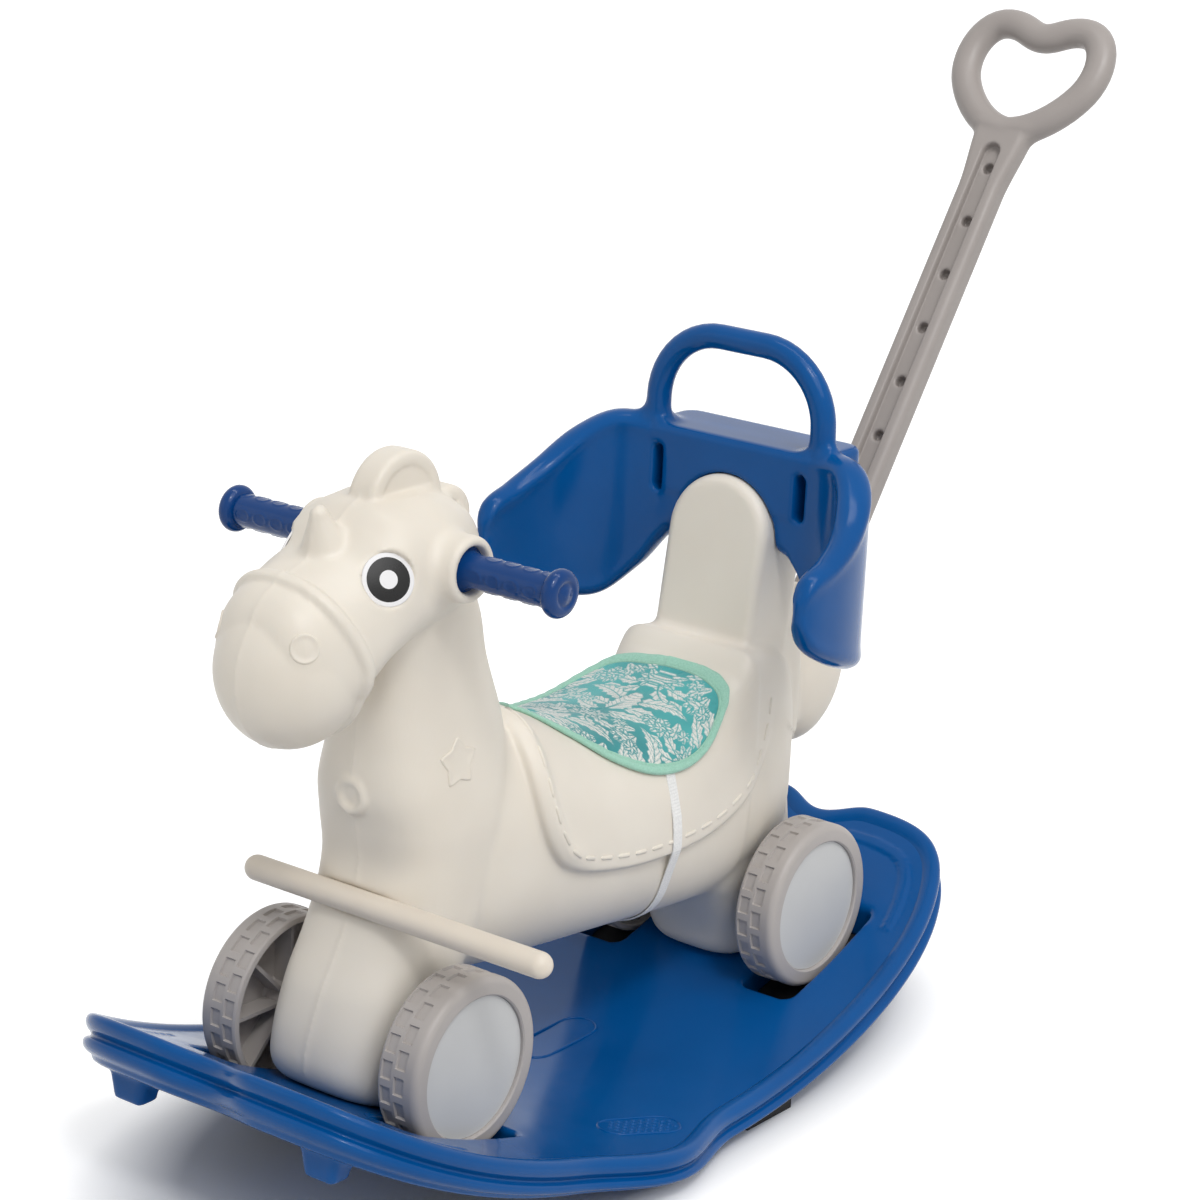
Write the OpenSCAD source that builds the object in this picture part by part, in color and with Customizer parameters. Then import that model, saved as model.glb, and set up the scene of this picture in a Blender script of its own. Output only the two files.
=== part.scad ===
// Rocking horse that is also a ride-on: a hollow moulded horse on four wheels stands in a curved
// rocker board, with a backrest, a seat pad, a foot rod and a push handle.
// Millimetres, +Z up, the horse faces -Y, its left side is +X.
// The origin is on the floor, under the middle of the wheelbase.

/* [Rocker board] */
// Length of the board from end to end
board_len = 800; // [770:1:840]
// Width of the board at its waist, without the foot rests
board_w = 368; // [356:1:390]
// Height of the lowest point of the deck above the floor
deck_h = 31; // [29:0.5:36]
// Radius of the deck's upper curve
deck_r = 720; // [690:1:760]
// Radius of the board's lower curve
under_r = 800; // [775:1:830]
// Gap between the board's lowest point and the floor
under_h = 7; // [5:0.1:9]
// Wall of the hollow board
board_wall = 3.2; // [2.5:0.1:4.5]
// How far each foot rest stands out from the side
lobe_out = 21; // [12:1:28]
// Length of each foot rest along the side
lobe_len = 200; // [170:1:230]
// Depth of the dip in each end edge
end_dip = 14; // [8:1:20]
// Height of the rim's upper bead
bead_h = 11; // [8:0.5:13]
// Height of the groove under the upper bead
groove_h = 4; // [3:0.5:6]
// Depth of that groove
groove_in = 4; // [2.5:0.5:6]
// Length of each rubber grip pad along the board
grip_len = 60; // [45:1:80]
// Width of each rubber grip pad
grip_w = 26; // [20:1:34]
// Distance of the end stops from the middle plane
stop_x = 95; // [80:1:110]
// How far the end stops reach below the board
stop_drop = 17; // [10:1:24]

/* [Wheels and axles] */
// Diameter of the wheels
wheel_d = 140; // [136:0.5:144]
// Width of each wheel
wheel_w = 37; // [35:0.5:40]
// Distance between the inner faces of a pair of wheels
wheel_track = 141; // [138:0.5:148]
// Distance between the axles
wheelbase = 446; // [430:1:460]
// Height of the axles above the floor
axle_h = 120; // [119:0.5:126]
// Diameter of the steel axles
axle_d = 10; // [8:0.5:12]
// Radial clearance of the wheels on their axles
run_fit = 0.05; // [0.02:0.01:0.1]
// Diameter of the wheel's hub
hub_d = 26; // [22:0.5:30]
// Thickness of the wheel's rim
rim_t = 6; // [4:0.5:8]
// Thickness of the wheel's web
web_t = 4; // [3:0.5:5]
// Diameter of the hub cap
cap_d = 110; // [100:1:114]
// Thickness of the hub cap
cap_t = 2.2; // [1.6:0.1:3]
// Number of ribs inside each wheel
rib_count = 8; // [6:1:12]
// Thickness of each rib
rib_t = 3; // [2:0.5:4]
// Outer diameter of the bushes beside the legs
bush_d = 20; // [17:0.5:24]

/* [Horse] */
// Wall of the hollow horse
body_wall = 3.5; // [2.5:0.1:4.5]
// Thickness of the saddle flaps that stand out from the flanks
flap_t = 5; // [3.5:0.5:6]
// Width of the post that carries the backrest
post_w = 98; // [90:1:104]
// Depth of the post
post_depth = 62; // [54:1:66]
// Backward lean of the post in degrees
post_lean = 9; // [6:0.5:11]
// Diameter of the eyes
eye_d = 39; // [34:0.5:42]
// Thickness of the eyes
eye_t = 1.6; // [1.2:0.1:2.4]
// Clearance between pieces that only fit together
fit_gap = 0.3; // [0.2:0.05:0.5]

/* [Handlebar and foot rod] */
// Distance between the outer ends of the grips
bar_len = 322; // [310:1:340]
// Diameter of the steel handlebar
bar_d = 15; // [13:0.5:16]
// Diameter of the grips
grip_d = 25; // [23:0.5:28]
// Diameter of the flange at the end of each grip
flange_d = 36; // [32:0.5:40]
// Diameter of the flared inner end of each grip
flare_d = 34; // [30:0.5:36]
// Outer diameter of the collar round each grip
collar_d = 50; // [46:0.5:54]
// Distance of the collars' outer faces from the middle plane
collar_x = 77; // [74:0.5:80]
// Diameter of the foot rod
rod_d = 20; // [18:0.5:22]
// Length of the foot rod
rod_len = 293; // [270:1:310]
// How far the foot rod is pushed towards the horse's left
rod_shift = 43; // [0:1:50]

/* [Backrest] */
// Thickness of the backrest panel
back_t = 28; // [24:1:30]
// Height of the panel's top edge above the axles
back_top = 384; // [380:1:390]
// Width of the hand loop between its outer sides
loop_w = 186; // [178:1:196]
// Height of the hand loop above the panel's top edge
loop_h = 90; // [76:1:100]
// Diameter of the hand loop's tube
loop_d = 21; // [18:0.5:24]
// Height of the belt slots
slot_h = 40; // [34:1:44]
// Width of the belt slots
slot_w = 9; // [7:0.5:11]
// Distance between the belt slots
slot_gap = 143; // [138:1:150]
// Diameter of the backrest screws
screw_d = 6; // [5:0.5:7]

/* [Push handle] */
// Lean of the push handle from upright in degrees
push_lean = 34.6; // [33:0.1:36]
// Width of the handle's bar
push_w = 41; // [38:0.5:44]
// Depth of the handle's bar
push_t = 22; // [20:0.5:24]
// Width of the groove in the bar's front
push_groove_w = 14; // [10:0.5:18]
// Depth of that groove
push_groove_t = 5; // [3:0.5:7]
// Spacing of the dimples in the groove
dimple_pitch = 52.8; // [48:0.2:54]
// Diameter of the dimples
dimple_d = 9; // [7:0.5:11]
// Depth of the dimples
dimple_t = 8; // [5:0.5:10]
// Length of the bar from the socket's mouth to the heart
push_len = 450; // [420:1:470]
// Length of the bar that sits in the socket
push_seat = 100; // [80:1:106]
// Half of the heart's width, near the middle of its tube
heart_half = 62; // [58:1:66]
// Diameter of the heart's tube
heart_d = 27; // [24:0.5:29]
// Clearance of the bar in its socket
push_fit = 0.3; // [0.2:0.05:0.5]

/* [Seat pad] */
// Length of the pad along the saddle
pad_len = 222; // [210:1:230]
// Greatest reach of the pad from the middle, along the saddle
pad_half = 82; // [76:1:88]
// Thickness of the pad in its middle
pad_t = 8; // [6:0.5:10]
// Thickness of the pad at its edge
pad_edge_t = 3; // [2.5:0.1:4]
// Width of the binding round the pad
bind_w = 9; // [7:0.5:11]
// Width of the elastic strap
strap_w = 11; // [9:0.5:14]
// Thickness of the elastic strap
strap_t = 1.2; // [1:0.1:1.6]

/* [Hidden] */
$fn = 64;

// Points round a body section, a small section and a hollow's section
body_sides = 24;
small_sides = 16;
hollow_sides = 14;
// Sides of a round hole in the horse
bore_sides = 32;
// Width across the corners of a faceted hole whose flats just clear a round bar
function bore(d) = (d + 2 * run_fit) / cos(180 / bore_sides);
// Places along the toy
fore_y = -wheelbase / 2;
aft_y = wheelbase / 2;
deck_axis_z = deck_h + deck_r;
under_axis_z = under_h + under_r;

// Colours
cream = [0.87, 0.84, 0.79];
blue = [0.09, 0.31, 0.57];
taupe = [0.66, 0.63, 0.61];
wheel_grey = [0.72, 0.70, 0.68];
cap_grey = [0.75, 0.75, 0.75];
steel = [0.62, 0.63, 0.65];
black = [0.06, 0.06, 0.06];
white = [0.95, 0.95, 0.95];
teal = [0.24, 0.63, 0.63];
mint = [0.60, 0.85, 0.73];

// Smooth reading of a table whose rows start with a rising key
function row_index(tab, s, i = 0) =
    i >= len(tab) - 2 || s < tab[i + 1][0] ? i : row_index(tab, s, i + 1);
function row_slope(tab, i) =
    let (a = max(i - 1, 0), b = min(i + 1, len(tab) - 1))
    (tab[b] - tab[a]) / (tab[b][0] - tab[a][0]);
function row_at(tab, s) =
    let (
        i = row_index(tab, s),
        h = tab[i + 1][0] - tab[i][0],
        u = (s - tab[i][0]) / h,
        u2 = u * u,
        u3 = u2 * u
    )
    (2 * u3 - 3 * u2 + 1) * tab[i] + (u3 - 2 * u2 + u) * h * row_slope(tab, i)
    + (3 * u2 - 2 * u3) * tab[i + 1] + (u3 - u2) * h * row_slope(tab, i + 1);
function first_key(tab) = tab[0][0];
function last_key(tab) = tab[len(tab) - 1][0];
function steps(from, to, count) = [for (i = [0 : count]) from + (to - from) * i / count];

// Superellipse rings: level ones for what rises, upright ones for what runs along Y
function power(c, n) = sign(c) * pow(abs(c), 2 / n);
function level_ring(half_w, front, back, z, n, sides) =
    [for (i = [0 : sides - 1])
        let (a = 360 * (i + 0.5) / sides)
        [half_w * power(cos(a), n), (front + back) / 2 + (back - front) / 2 * power(sin(a), n), z]];
function upright_ring(half_w, low, top, y, n, sides, under = 99) =
    [for (i = [0 : sides - 1])
        let (a = -360 * (i + 0.5) / sides, k = sin(a) < 0 ? min(n, under) : n)
        [half_w * power(cos(a), k), y, (low + top) / 2 + (top - low) / 2 * power(sin(a), k)]];

// Closed skin through a list of rings of equal count
function middle(ring) = [for (k = [0 : 2]) ring_sum(ring, k) / len(ring)];
function ring_sum(ring, k, i = 0) = i == len(ring) ? 0 : ring[i][k] + ring_sum(ring, k, i + 1);
module loft(rings) {
    count = len(rings);
    sides = len(rings[0]);
    first = count * sides;
    polyhedron(
        points = concat(
            [for (ring = rings) each ring],
            [middle(rings[0]), middle(rings[count - 1])]
        ),
        faces = concat(
            [for (k = [0 : count - 2], i = [0 : sides - 1])
                let (a = k * sides + i, b = k * sides + (i + 1) % sides)
                each [[a, a + sides, b + sides], [a, b + sides, b]]],
            [for (i = [0 : sides - 1]) [i, (i + 1) % sides, first]],
            [for (i = [0 : sides - 1])
                let (top = first - sides)
                [top + (i + 1) % sides, top + i, first + 1]]
        )
    );
}
// Joins skins into one closed surface of triangles
module one_skin() {
    resize([0, 0, 0]) union() children();
}
module along_x(x) {
    translate([x, 0, 0]) rotate([0, 90, 0]) children();
}
module at_axles() {
    for (y = [fore_y, aft_y]) translate([0, y, 0]) children();
}
module lifted(tint) {
    color(tint) translate([0, 0, axle_h]) children();
}

// Rocker board
side_power = 5;
nose_power = 3.2;
tail_power = 4.6;
board_taper = 20;
side_share = 0.86;
side_steps = 12;
end_steps = 12;
lobe_y = -87;
dip_half = 48;
skirt_out = 2;
board_y = -6;
board_slab = 400;
skirt_rise = 7;
slot_side = 6;
slot_inner = 47;
slot_outer = 7;
drain_d = 8;
stop_w = 36;
stop_t = 24;
stop_inset = 34;
stop_top = 12;
grip_y = 70;
grip_inset = 24;

function swell(u) = abs(u) >= 1 ? 0 : pow(cos(90 * u), 2);
function end_power(y) = y < 0 ? nose_power : tail_power;
function side_reach(y) =
    board_w / 2 * pow(1 - pow(abs(2 * y / board_len), end_power(y)), 1 / side_power);
function end_reach(x, n) = board_len / 2 * pow(1 - pow(abs(2 * x / board_w), side_power), 1 / n);
function side_x(y) =
    side_reach(y) + lobe_out * swell(2 * (y - lobe_y) / lobe_len) - board_taper * y / board_len;
function end_y(x, n) = end_reach(x, n) - end_dip * swell(x / dip_half);
side_span = side_share * board_len / 2;
tail_span = side_reach(side_span);
nose_span = side_reach(-side_span);
tail_share = side_x(side_span) / tail_span;
nose_share = side_x(-side_span) / nose_span;
board_edge = concat(
    [for (y = steps(-side_span, side_span, side_steps * 2)) [side_x(y), y]],
    [for (i = [1 : end_steps - 1])
        let (x = tail_span * (1 - 2 * i / end_steps))
        [x * tail_share, end_y(x, tail_power)]],
    [for (y = steps(side_span, -side_span, side_steps * 2)) [-side_x(y), y]],
    [for (i = [1 : end_steps - 1])
        let (x = nose_span * (2 * i / end_steps - 1))
        [x * nose_share, -end_y(x, nose_power)]]
);
function edge_normal(i) =
    let (n = len(board_edge), t = board_edge[(i + 1) % n] - board_edge[(i + n - 1) % n])
    [t[1], -t[0]] / norm(t);
function edge_offset(d) = [for (i = [0 : len(board_edge) - 1]) board_edge[i] + d * edge_normal(i)];

module trough(r, z) {
    translate([0, 0, z]) rotate([0, 90, 0]) cylinder(r = r, h = 2 * board_w, center = true, $fn = 360);
}
// Part of the board between two curves, cut to its outline moved out by d
module board_band(d, top_r, top_z, low_r, low_z) {
    difference() {
        intersection() {
            translate([0, board_y, 0]) linear_extrude(board_slab) polygon(edge_offset(d));
            trough(low_r, low_z);
        }
        trough(top_r, top_z);
    }
}
module wheel_well(extra) {
    reach = wheel_d / 2;
    for (sx = [-1, 1], sy = [-1, 1])
        translate([sx * (wheel_track + wheel_w) / 2,
            sy * (wheelbase / 2 + (reach + slot_outer - slot_inner) / 2), board_slab / 2])
            cube([wheel_w + 2 * (slot_side + extra), reach + slot_inner + slot_outer + 2 * extra,
                2 * board_slab], center = true);
}
module end_stops() {
    for (sx = [-1, 1], sy = [-1, 1])
        difference() {
            translate([sx * stop_x - stop_w / 2, board_y + sy * stop_y - stop_t / 2, stop_low])
                cube([stop_w, stop_t, stop_drop + stop_top + stop_t]);
            trough(deck_r + bead_h, deck_axis_z);
        }
}
stop_y = board_len / 2 - stop_inset;
stop_low = under_axis_z - sqrt(under_r * under_r - pow(stop_y - board_y, 2)) - stop_drop;
module rocker_board() {
    color(blue) difference() {
        union() {
            board_band(-groove_in, deck_r, deck_axis_z, under_r, under_axis_z);
            board_band(0, deck_r, deck_axis_z, deck_r + bead_h, deck_axis_z);
            board_band(skirt_out, deck_r + bead_h + groove_h, deck_axis_z,
                under_r - skirt_rise, under_axis_z);
            end_stops();
        }
        difference() {
            board_band(-groove_in - board_wall, deck_r + board_wall, deck_axis_z,
                under_r - board_wall, under_axis_z);
            wheel_well(board_wall);
        }
        wheel_well(0);
        for (s = [-1, 1]) translate([0, s * wheelbase / 5, 0])
            cylinder(d = drain_d, h = deck_h / 2 + under_h);
    }
}
module grip_pads() {
    color(black) difference() {
        for (sx = [-1, 1], sy = [-1, 1])
            translate([sx * (board_w / 2 - grip_inset) - grip_w / 2, sy * grip_y - grip_len / 2, 0])
                cube([grip_w, grip_len, deck_h / 2]);
        trough(under_r, under_axis_z);
    }
    color(black) difference() {
        translate([-grip_len / 2, -grip_w, 0]) cube([grip_len, 2 * grip_w, deck_h / 2]);
        trough(under_r, under_axis_z);
    }
}

// Wheels: Z runs from the inner face to the outer face
wheel_r = wheel_d / 2;
wheel_x = wheel_track / 2;
shoulder = 6;
inner_edge = 3;
web_z = wheel_w - 13;
ledge_w = 6;
cap_seat_z = web_z + web_t + 3.5;
nut_t = 2.4;
nut_d = axle_d + 9;
rib_start = 7;
rib_lap = 0.5;
leg_boss_x = 62;
module wheel_shape() {
    profile = concat(
        [[axle_d / 2 + run_fit, 0], [hub_d / 2, 0], [hub_d / 2, web_z]],
        [[wheel_r - rim_t, web_z], [wheel_r - rim_t, 0], [wheel_r - inner_edge, 0], [wheel_r, inner_edge]],
        [for (a = [0 : 15 : 90])
            [wheel_r - shoulder + shoulder * cos(a), wheel_w - shoulder + shoulder * sin(a)]],
        [[cap_d / 2 + fit_gap, wheel_w - 1], [cap_d / 2 + fit_gap, cap_seat_z]],
        [[cap_d / 2 - ledge_w, cap_seat_z], [cap_d / 2 - ledge_w, web_z + web_t]],
        [[axle_d / 2 + run_fit, web_z + web_t]]
    );
    rotate_extrude() polygon(profile);
    for (i = [0 : rib_count - 1])
        rotate(360 * i / rib_count)
            translate([hub_d / 2 - rib_lap, -rib_t / 2, rib_start])
                cube([wheel_r - rim_t - hub_d / 2 + 2 * rib_lap, rib_t, web_z - rib_start + rib_lap]);
}
module on_side(side, end) {
    translate([0, end * wheelbase / 2, 0])
        mirror([side < 0 ? 1 : 0, 0, 0])
            along_x(wheel_x) children();
}
module wheel_at(side, end) {
    lifted(wheel_grey) on_side(side, end) wheel_shape();
}
module cap_at(side, end) {
    lifted(cap_grey) on_side(side, end) translate([0, 0, cap_seat_z]) cylinder(d = cap_d, h = cap_t);
}
axle_half = wheel_x + cap_seat_z - fit_gap;
module axle_at(y) {
    lifted(steel) translate([0, y, 0]) along_x(0) cylinder(d = axle_d, h = 2 * axle_half, center = true);
}
module axle_bushes() {
    lifted(black) at_axles() for (m = [0, 1]) mirror([m, 0, 0]) along_x(leg_boss_x)
        difference() {
            cylinder(d = bush_d, h = wheel_x - leg_boss_x - fit_gap);
            translate([0, 0, -1]) cylinder(d = axle_d, h = wheel_x);
        }
}
module axle_nuts() {
    lifted(steel) at_axles() for (m = [0, 1]) mirror([m, 0, 0])
        along_x(wheel_x + web_z + web_t + fit_gap)
            difference() {
                cylinder(d = nut_d, h = nut_t);
                translate([0, 0, -1]) cylinder(d = axle_d, h = nut_t + 2);
            }
}

// Horse: heights here are measured from the axles
// Forehand and neck: height, front and back from the front axle, half width
fore_table = [
    [-85, -72, 43, 55], [-5, -70, 50, 57], [41, -55, 62, 58], [75, -36, 82, 58], [105, -22, 102, 59],
    [135, -15, 108, 60], [165, -19, 112, 61], [195, -25, 114, 58], [232, -22, 112, 51],
    [285, -20, 94, 45], [320, -26, 84, 46], [350, -34, 70, 46]
];
// Barrel: share of the wheelbase behind the front axle, half width, low and top height, squareness of its top
barrel_table = [
    [0.05, 50, 45, 200, 2.4], [0.186, 62, 28, 218, 2.4], [0.327, 66, 22, 214, 2.4], [0.41, 67, 19, 199, 2.4],
    [0.5, 68, 17, 184, 2.5], [0.612, 68, 13, 176, 2.6], [0.704, 68, 10, 177, 2.8], [0.791, 67, 8, 189, 3.4],
    [0.845, 67, 6, 204, 5.5], [0.88, 67, 5, 215, 9], [0.91, 66, 5, 219, 10], [0.948, 65, 5, 219, 9],
    [1.038, 57, 12, 212, 4], [1.075, 47, 24, 202, 2.6], [1.11, 34, 42, 190, 2.5], [1.145, 17, 76, 166, 2.5]
];
belly_power = 3;
// Hind legs: height, front and back from the rear axle, half width
hind_table = [
    [-85, -32, 72, 55], [-40, -40, 71, 57], [0, -64, 65, 57], [30, -95, 58, 57], [60, -110, 54, 57],
    [110, -110, 48, 56]
];
// Head: distance along Y from the front axle, half width, low and top height
head_table = [
    [-136, 34, 270, 351], [-122, 45, 264, 366], [-100, 53, 262, 376], [-77, 57, 270, 384],
    [-60, 59, 282, 391], [-45, 61, 294, 406], [-30, 62, 302, 416], [-10, 62, 310, 419],
    [14, 61, 316, 420], [43, 52, 318, 413], [68, 38, 324, 402], [88, 17, 338, 384]
];
muzzle_y = -95;
muzzle_z = 307;
muzzle_size = [53, 55, 59];
horn_y = -56;
horn_z = 386;
horn_r = 18.5;
horn_h = 36;
horn_lean = 20;
// Share of the horn's height, and share of its base radius
horn_table = [[-0.5, 1], [0, 1], [0.35, 0.92], [0.6, 0.78], [0.8, 0.58], [0.93, 0.36], [1, 0.12]];
leg_power = 3;
head_power = 2.4;
foot_gap = fit_gap;
hollow_floor = -14;
neck_plug = 20;
end_wall = 8;
bar_y = fore_y + 14;
bar_z = 372;
rod_y = fore_y - 23;
rod_z = 110;
rod_r = rod_d / 2;
// Saddle flap seen from the side: along Y from mid wheelbase, and height
flap_edge = [
    [-95, 245], [-108, 205], [-109, 169], [-98, 133], [-77, 108], [-37, 93], [33, 83], [100, 84],
    [139, 92], [175, 112], [195, 138], [206, 172], [204, 250]
];
// Mane: a tall arched crest and a smaller lobe behind it
crest_y = fore_y + 14;
crest_z = 408;
crest_r = 40;
crest_w = 26;
lobe_crest_y = fore_y + 64;
lobe_crest_z = 388;
lobe_crest_r = 25;
eye_at = [51, fore_y - 49, 373];
eye_turn = 40;
eye_lift = 16;

function fore_ring(z, inset, sides) =
    let (r = row_at(fore_table, z))
    level_ring(r[3] - inset, fore_y + r[1] + inset, fore_y + r[2] - inset, z, leg_power, sides);
function hind_ring(z, inset, sides) =
    let (r = row_at(hind_table, z))
    level_ring(r[3] - inset, aft_y + r[1] + inset, aft_y + r[2] - inset, z, leg_power, sides);
function barrel_y(t) = fore_y + t * wheelbase;
function barrel_ring(t, inset, sides) =
    let (r = row_at(barrel_table, t))
    upright_ring(r[1] - inset, r[2] + inset, r[3] - inset, barrel_y(t), r[4], sides, belly_power);
function head_ring(y, inset, sides) =
    let (r = row_at(head_table, y))
    upright_ring(r[1] - inset, r[2] + inset, r[3] - inset, fore_y + y, head_power, sides);
function ball_ring(a, inset, sides) =
    upright_ring((muzzle_size[0] - inset) * cos(a), muzzle_z - (muzzle_size[2] - inset) * cos(a),
        muzzle_z + (muzzle_size[2] - inset) * cos(a),
        fore_y + muzzle_y + (muzzle_size[1] - inset) * sin(a), 2, sides);

module barrel(inset, sides) {
    end_inset = inset / wheelbase;
    loft([for (t = steps(first_key(barrel_table) + end_inset, last_key(barrel_table) - end_inset, 30))
        barrel_ring(t, inset, sides)]);
}
// Round-topped block that leans back from the saddle: its front lower edge is the pivot
post_y = aft_y - 44;
post_z = 214;
post_rise = 143;
post_root = 120;
post_round = 9;
arch_steps = 12;
function arch_ring(y, grow) =
    let (r = post_w / 2 + grow, c = post_rise - post_w / 2)
    concat(
        [[r, y, -post_root - grow]],
        [for (i = [0 : arch_steps]) let (a = 180 * i / arch_steps) [r * cos(a), y, c + r * sin(a)]],
        [[-r, y, -post_root - grow]]
    );
function flipped(ring) = [for (i = [len(ring) - 1 : -1 : 0]) ring[i]];
module post_place() {
    translate([0, post_y, post_z]) rotate([-post_lean, 0, 0]) children();
}
module post(grow) {
    post_place() loft([
        for (a = [90 : -30 : 0])
            flipped(arch_ring(post_round * (1 - sin(a)) - grow, grow - post_round * (1 - cos(a)))),
        flipped(arch_ring(post_depth + grow, grow))
    ]);
}
// Buttress behind the post: height, front and back from the rear axle, half width
buttress_table = [[150, 0, 62, 44], [200, 0, 56, 47], [245, 0, 38, 47], [285, 0, 22, 45], [310, 0, 10, 43]];
module buttress(inset, sides) {
    loft([for (z = steps(first_key(buttress_table) + inset, last_key(buttress_table) - 3 * inset, 6))
        let (r = row_at(buttress_table, z))
        level_ring(r[3] - inset, aft_y + r[1] + inset, aft_y + r[2] - inset, z, leg_power, sides)]);
}
// The push handle's frame: Z runs up the bar, -Y is its front
push_y = aft_y + 207;
push_z = 351;
push_front = -push_groove_t;
mouth_z = -150;
// Socket for the push handle: distance up its axis, half width, front and back
socket_table = [
    [-282, 8, 2, 20], [-276, 22, -14, 37], [-262, 33, -27, 50], [-240, 39, -34, 57], [-215, 40, -34, 57],
    [-185, 36, -27, 49], [-150, 30, -16, 33]
];
module push_place() {
    translate([0, push_y, push_z]) rotate([-push_lean, 0, 0]) children();
}
module socket() {
    push_place() loft([for (z = [-282, -278, -270, -258, -240, -215, -185, -150])
        let (r = row_at(socket_table, z))
        level_ring(r[1], r[2], r[3], z, 2.6, small_sides)]);
}
module side_cut(half, edge) {
    rotate([90, 0, 90]) linear_extrude(2 * half, center = true) polygon(edge);
}
module mane() {
    translate([0, crest_y, crest_z]) along_x(-crest_w / 2) cylinder(r = crest_r, h = crest_w, $fn = 36);
    translate([0, lobe_crest_y, lobe_crest_z])
        along_x(-crest_w / 2 + 1) cylinder(r = lobe_crest_r, h = crest_w - 2, $fn = 28);
}
module horn() {
    translate([0, fore_y + horn_y, horn_z]) rotate([horn_lean, 0, 0])
        loft([for (r = horn_table)
            level_ring(r[1] * horn_r, -r[1] * horn_r, r[1] * horn_r, r[0] * horn_h, 2, small_sides)]);
}
module horse_outside() {
    union() {
        loft([for (z = steps(first_key(fore_table), last_key(fore_table), 16)) fore_ring(z, 0, body_sides)]);
        loft([for (z = steps(first_key(hind_table), last_key(hind_table), 8)) hind_ring(z, 0, body_sides)]);
        barrel(0, body_sides);
        intersection() {
            barrel(-flap_t, body_sides);
            side_cut(board_w, flap_edge);
        }
        loft([for (y = steps(first_key(head_table), last_key(head_table), 14)) head_ring(y, 0, body_sides)]);
        loft([for (a = steps(-80, 80, 10)) ball_ring(a, 0, body_sides)]);
        mane();
        horn();
        post(0);
        buttress(0, body_sides);
        socket();
        translate([0, bar_y, bar_z]) along_x(0)
            cylinder(d = collar_d, h = 2 * collar_x, center = true, $fn = 32);
        at_axles() along_x(0) cylinder(d = bush_d + 6, h = 2 * leg_boss_x, center = true, $fn = 32);
    }
}
// Hollow of the moulding, leaving tunnels for the axles, the handlebar and the push handle
module horse_hollow() {
    tunnel = 2 * body_wall;
    difference() {
        union() {
            loft([for (z = steps(hollow_floor, last_key(fore_table) - neck_plug, 14))
                fore_ring(z, body_wall, hollow_sides)]);
            loft([for (z = steps(hollow_floor, last_key(hind_table) - end_wall, 5))
                hind_ring(z, body_wall, hollow_sides)]);
            barrel(body_wall, hollow_sides);
            loft([for (y = steps(first_key(head_table) + end_wall, last_key(head_table) - end_wall, 9))
                head_ring(y, body_wall, hollow_sides)]);
            loft([for (a = steps(-75, 75, 6)) ball_ring(a, body_wall, hollow_sides)]);
            post(-body_wall);
            buttress(body_wall, hollow_sides);
        }
        at_axles() along_x(0) cylinder(d = axle_d + 2 * tunnel, h = board_w, center = true, $fn = 16);
        translate([0, bar_y, bar_z]) along_x(0)
            cylinder(d = flare_d + tunnel, h = board_w, center = true, $fn = 16);
        push_place()
            translate([-push_w / 2 - body_wall, push_front - body_wall, mouth_z - push_seat - tunnel])
                cube([push_w + tunnel, push_t + tunnel, push_seat + board_w]);
        translate([0, rod_y, rod_z]) along_x(0)
            cylinder(d = rod_d + tunnel, h = board_w, center = true, $fn = 16);
        for (side = [0, 1]) mirror([side, 0, 0]) eye_place()
            translate([0, 0, -body_wall]) cylinder(d = eye_d + tunnel, h = eye_d, $fn = 16);
    }
}
module eye_place() {
    translate(eye_at) rotate([0, 0, -eye_turn]) rotate([0, 90 - eye_lift, 0]) children();
}
flare_depth = 10;
module horse_body() {
    lifted(cream) one_skin() difference() {
        intersection() {
            difference() {
                horse_outside();
                horse_hollow();
            }
            translate([0, 0, deck_axis_z - axle_h]) rotate([0, 90, 0])
                cylinder(r = deck_r - foot_gap, h = board_w, center = true, $fn = 360);
        }
        at_axles() along_x(0) cylinder(d = bore(axle_d), h = board_w, center = true, $fn = bore_sides);
        translate([0, bar_y, bar_z]) along_x(0)
            cylinder(d = bore(bar_d), h = board_w, center = true, $fn = bore_sides);
        for (m = [0, 1]) mirror([m, 0, 0]) translate([0, bar_y, bar_z])
            along_x(collar_x - flare_depth)
                cylinder(d = flare_d + 2 * fit_gap, h = board_w, $fn = bore_sides);
        translate([0, rod_y, rod_z]) along_x(0)
            cylinder(d = bore(rod_d), h = board_w, center = true, $fn = 2 * bore_sides);
        push_place()
            translate([-push_w / 2 - push_fit, push_front - push_fit, mouth_z - push_seat - push_fit])
                cube([push_w + 2 * push_fit, push_t + 2 * push_fit, push_seat + wheelbase]);
        for (m = [0, 1]) mirror([m, 0, 0]) eye_place()
            cylinder(d = eye_d + 2 * fit_gap, h = eye_d, $fn = bore_sides);
        back_screws() cylinder(d = bore(screw_d), h = screw_len, $fn = bore_sides);
        cylinder(d = drain_d, h = 2 * (row_at(barrel_table, 0.5)[2] + 2 * body_wall), center = true,
            $fn = bore_sides);
    }
}
module eye(side) {
    lifted(white) mirror([side < 0 ? 1 : 0, 0, 0]) eye_place() cylinder(d = eye_d, h = eye_t);
}

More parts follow.
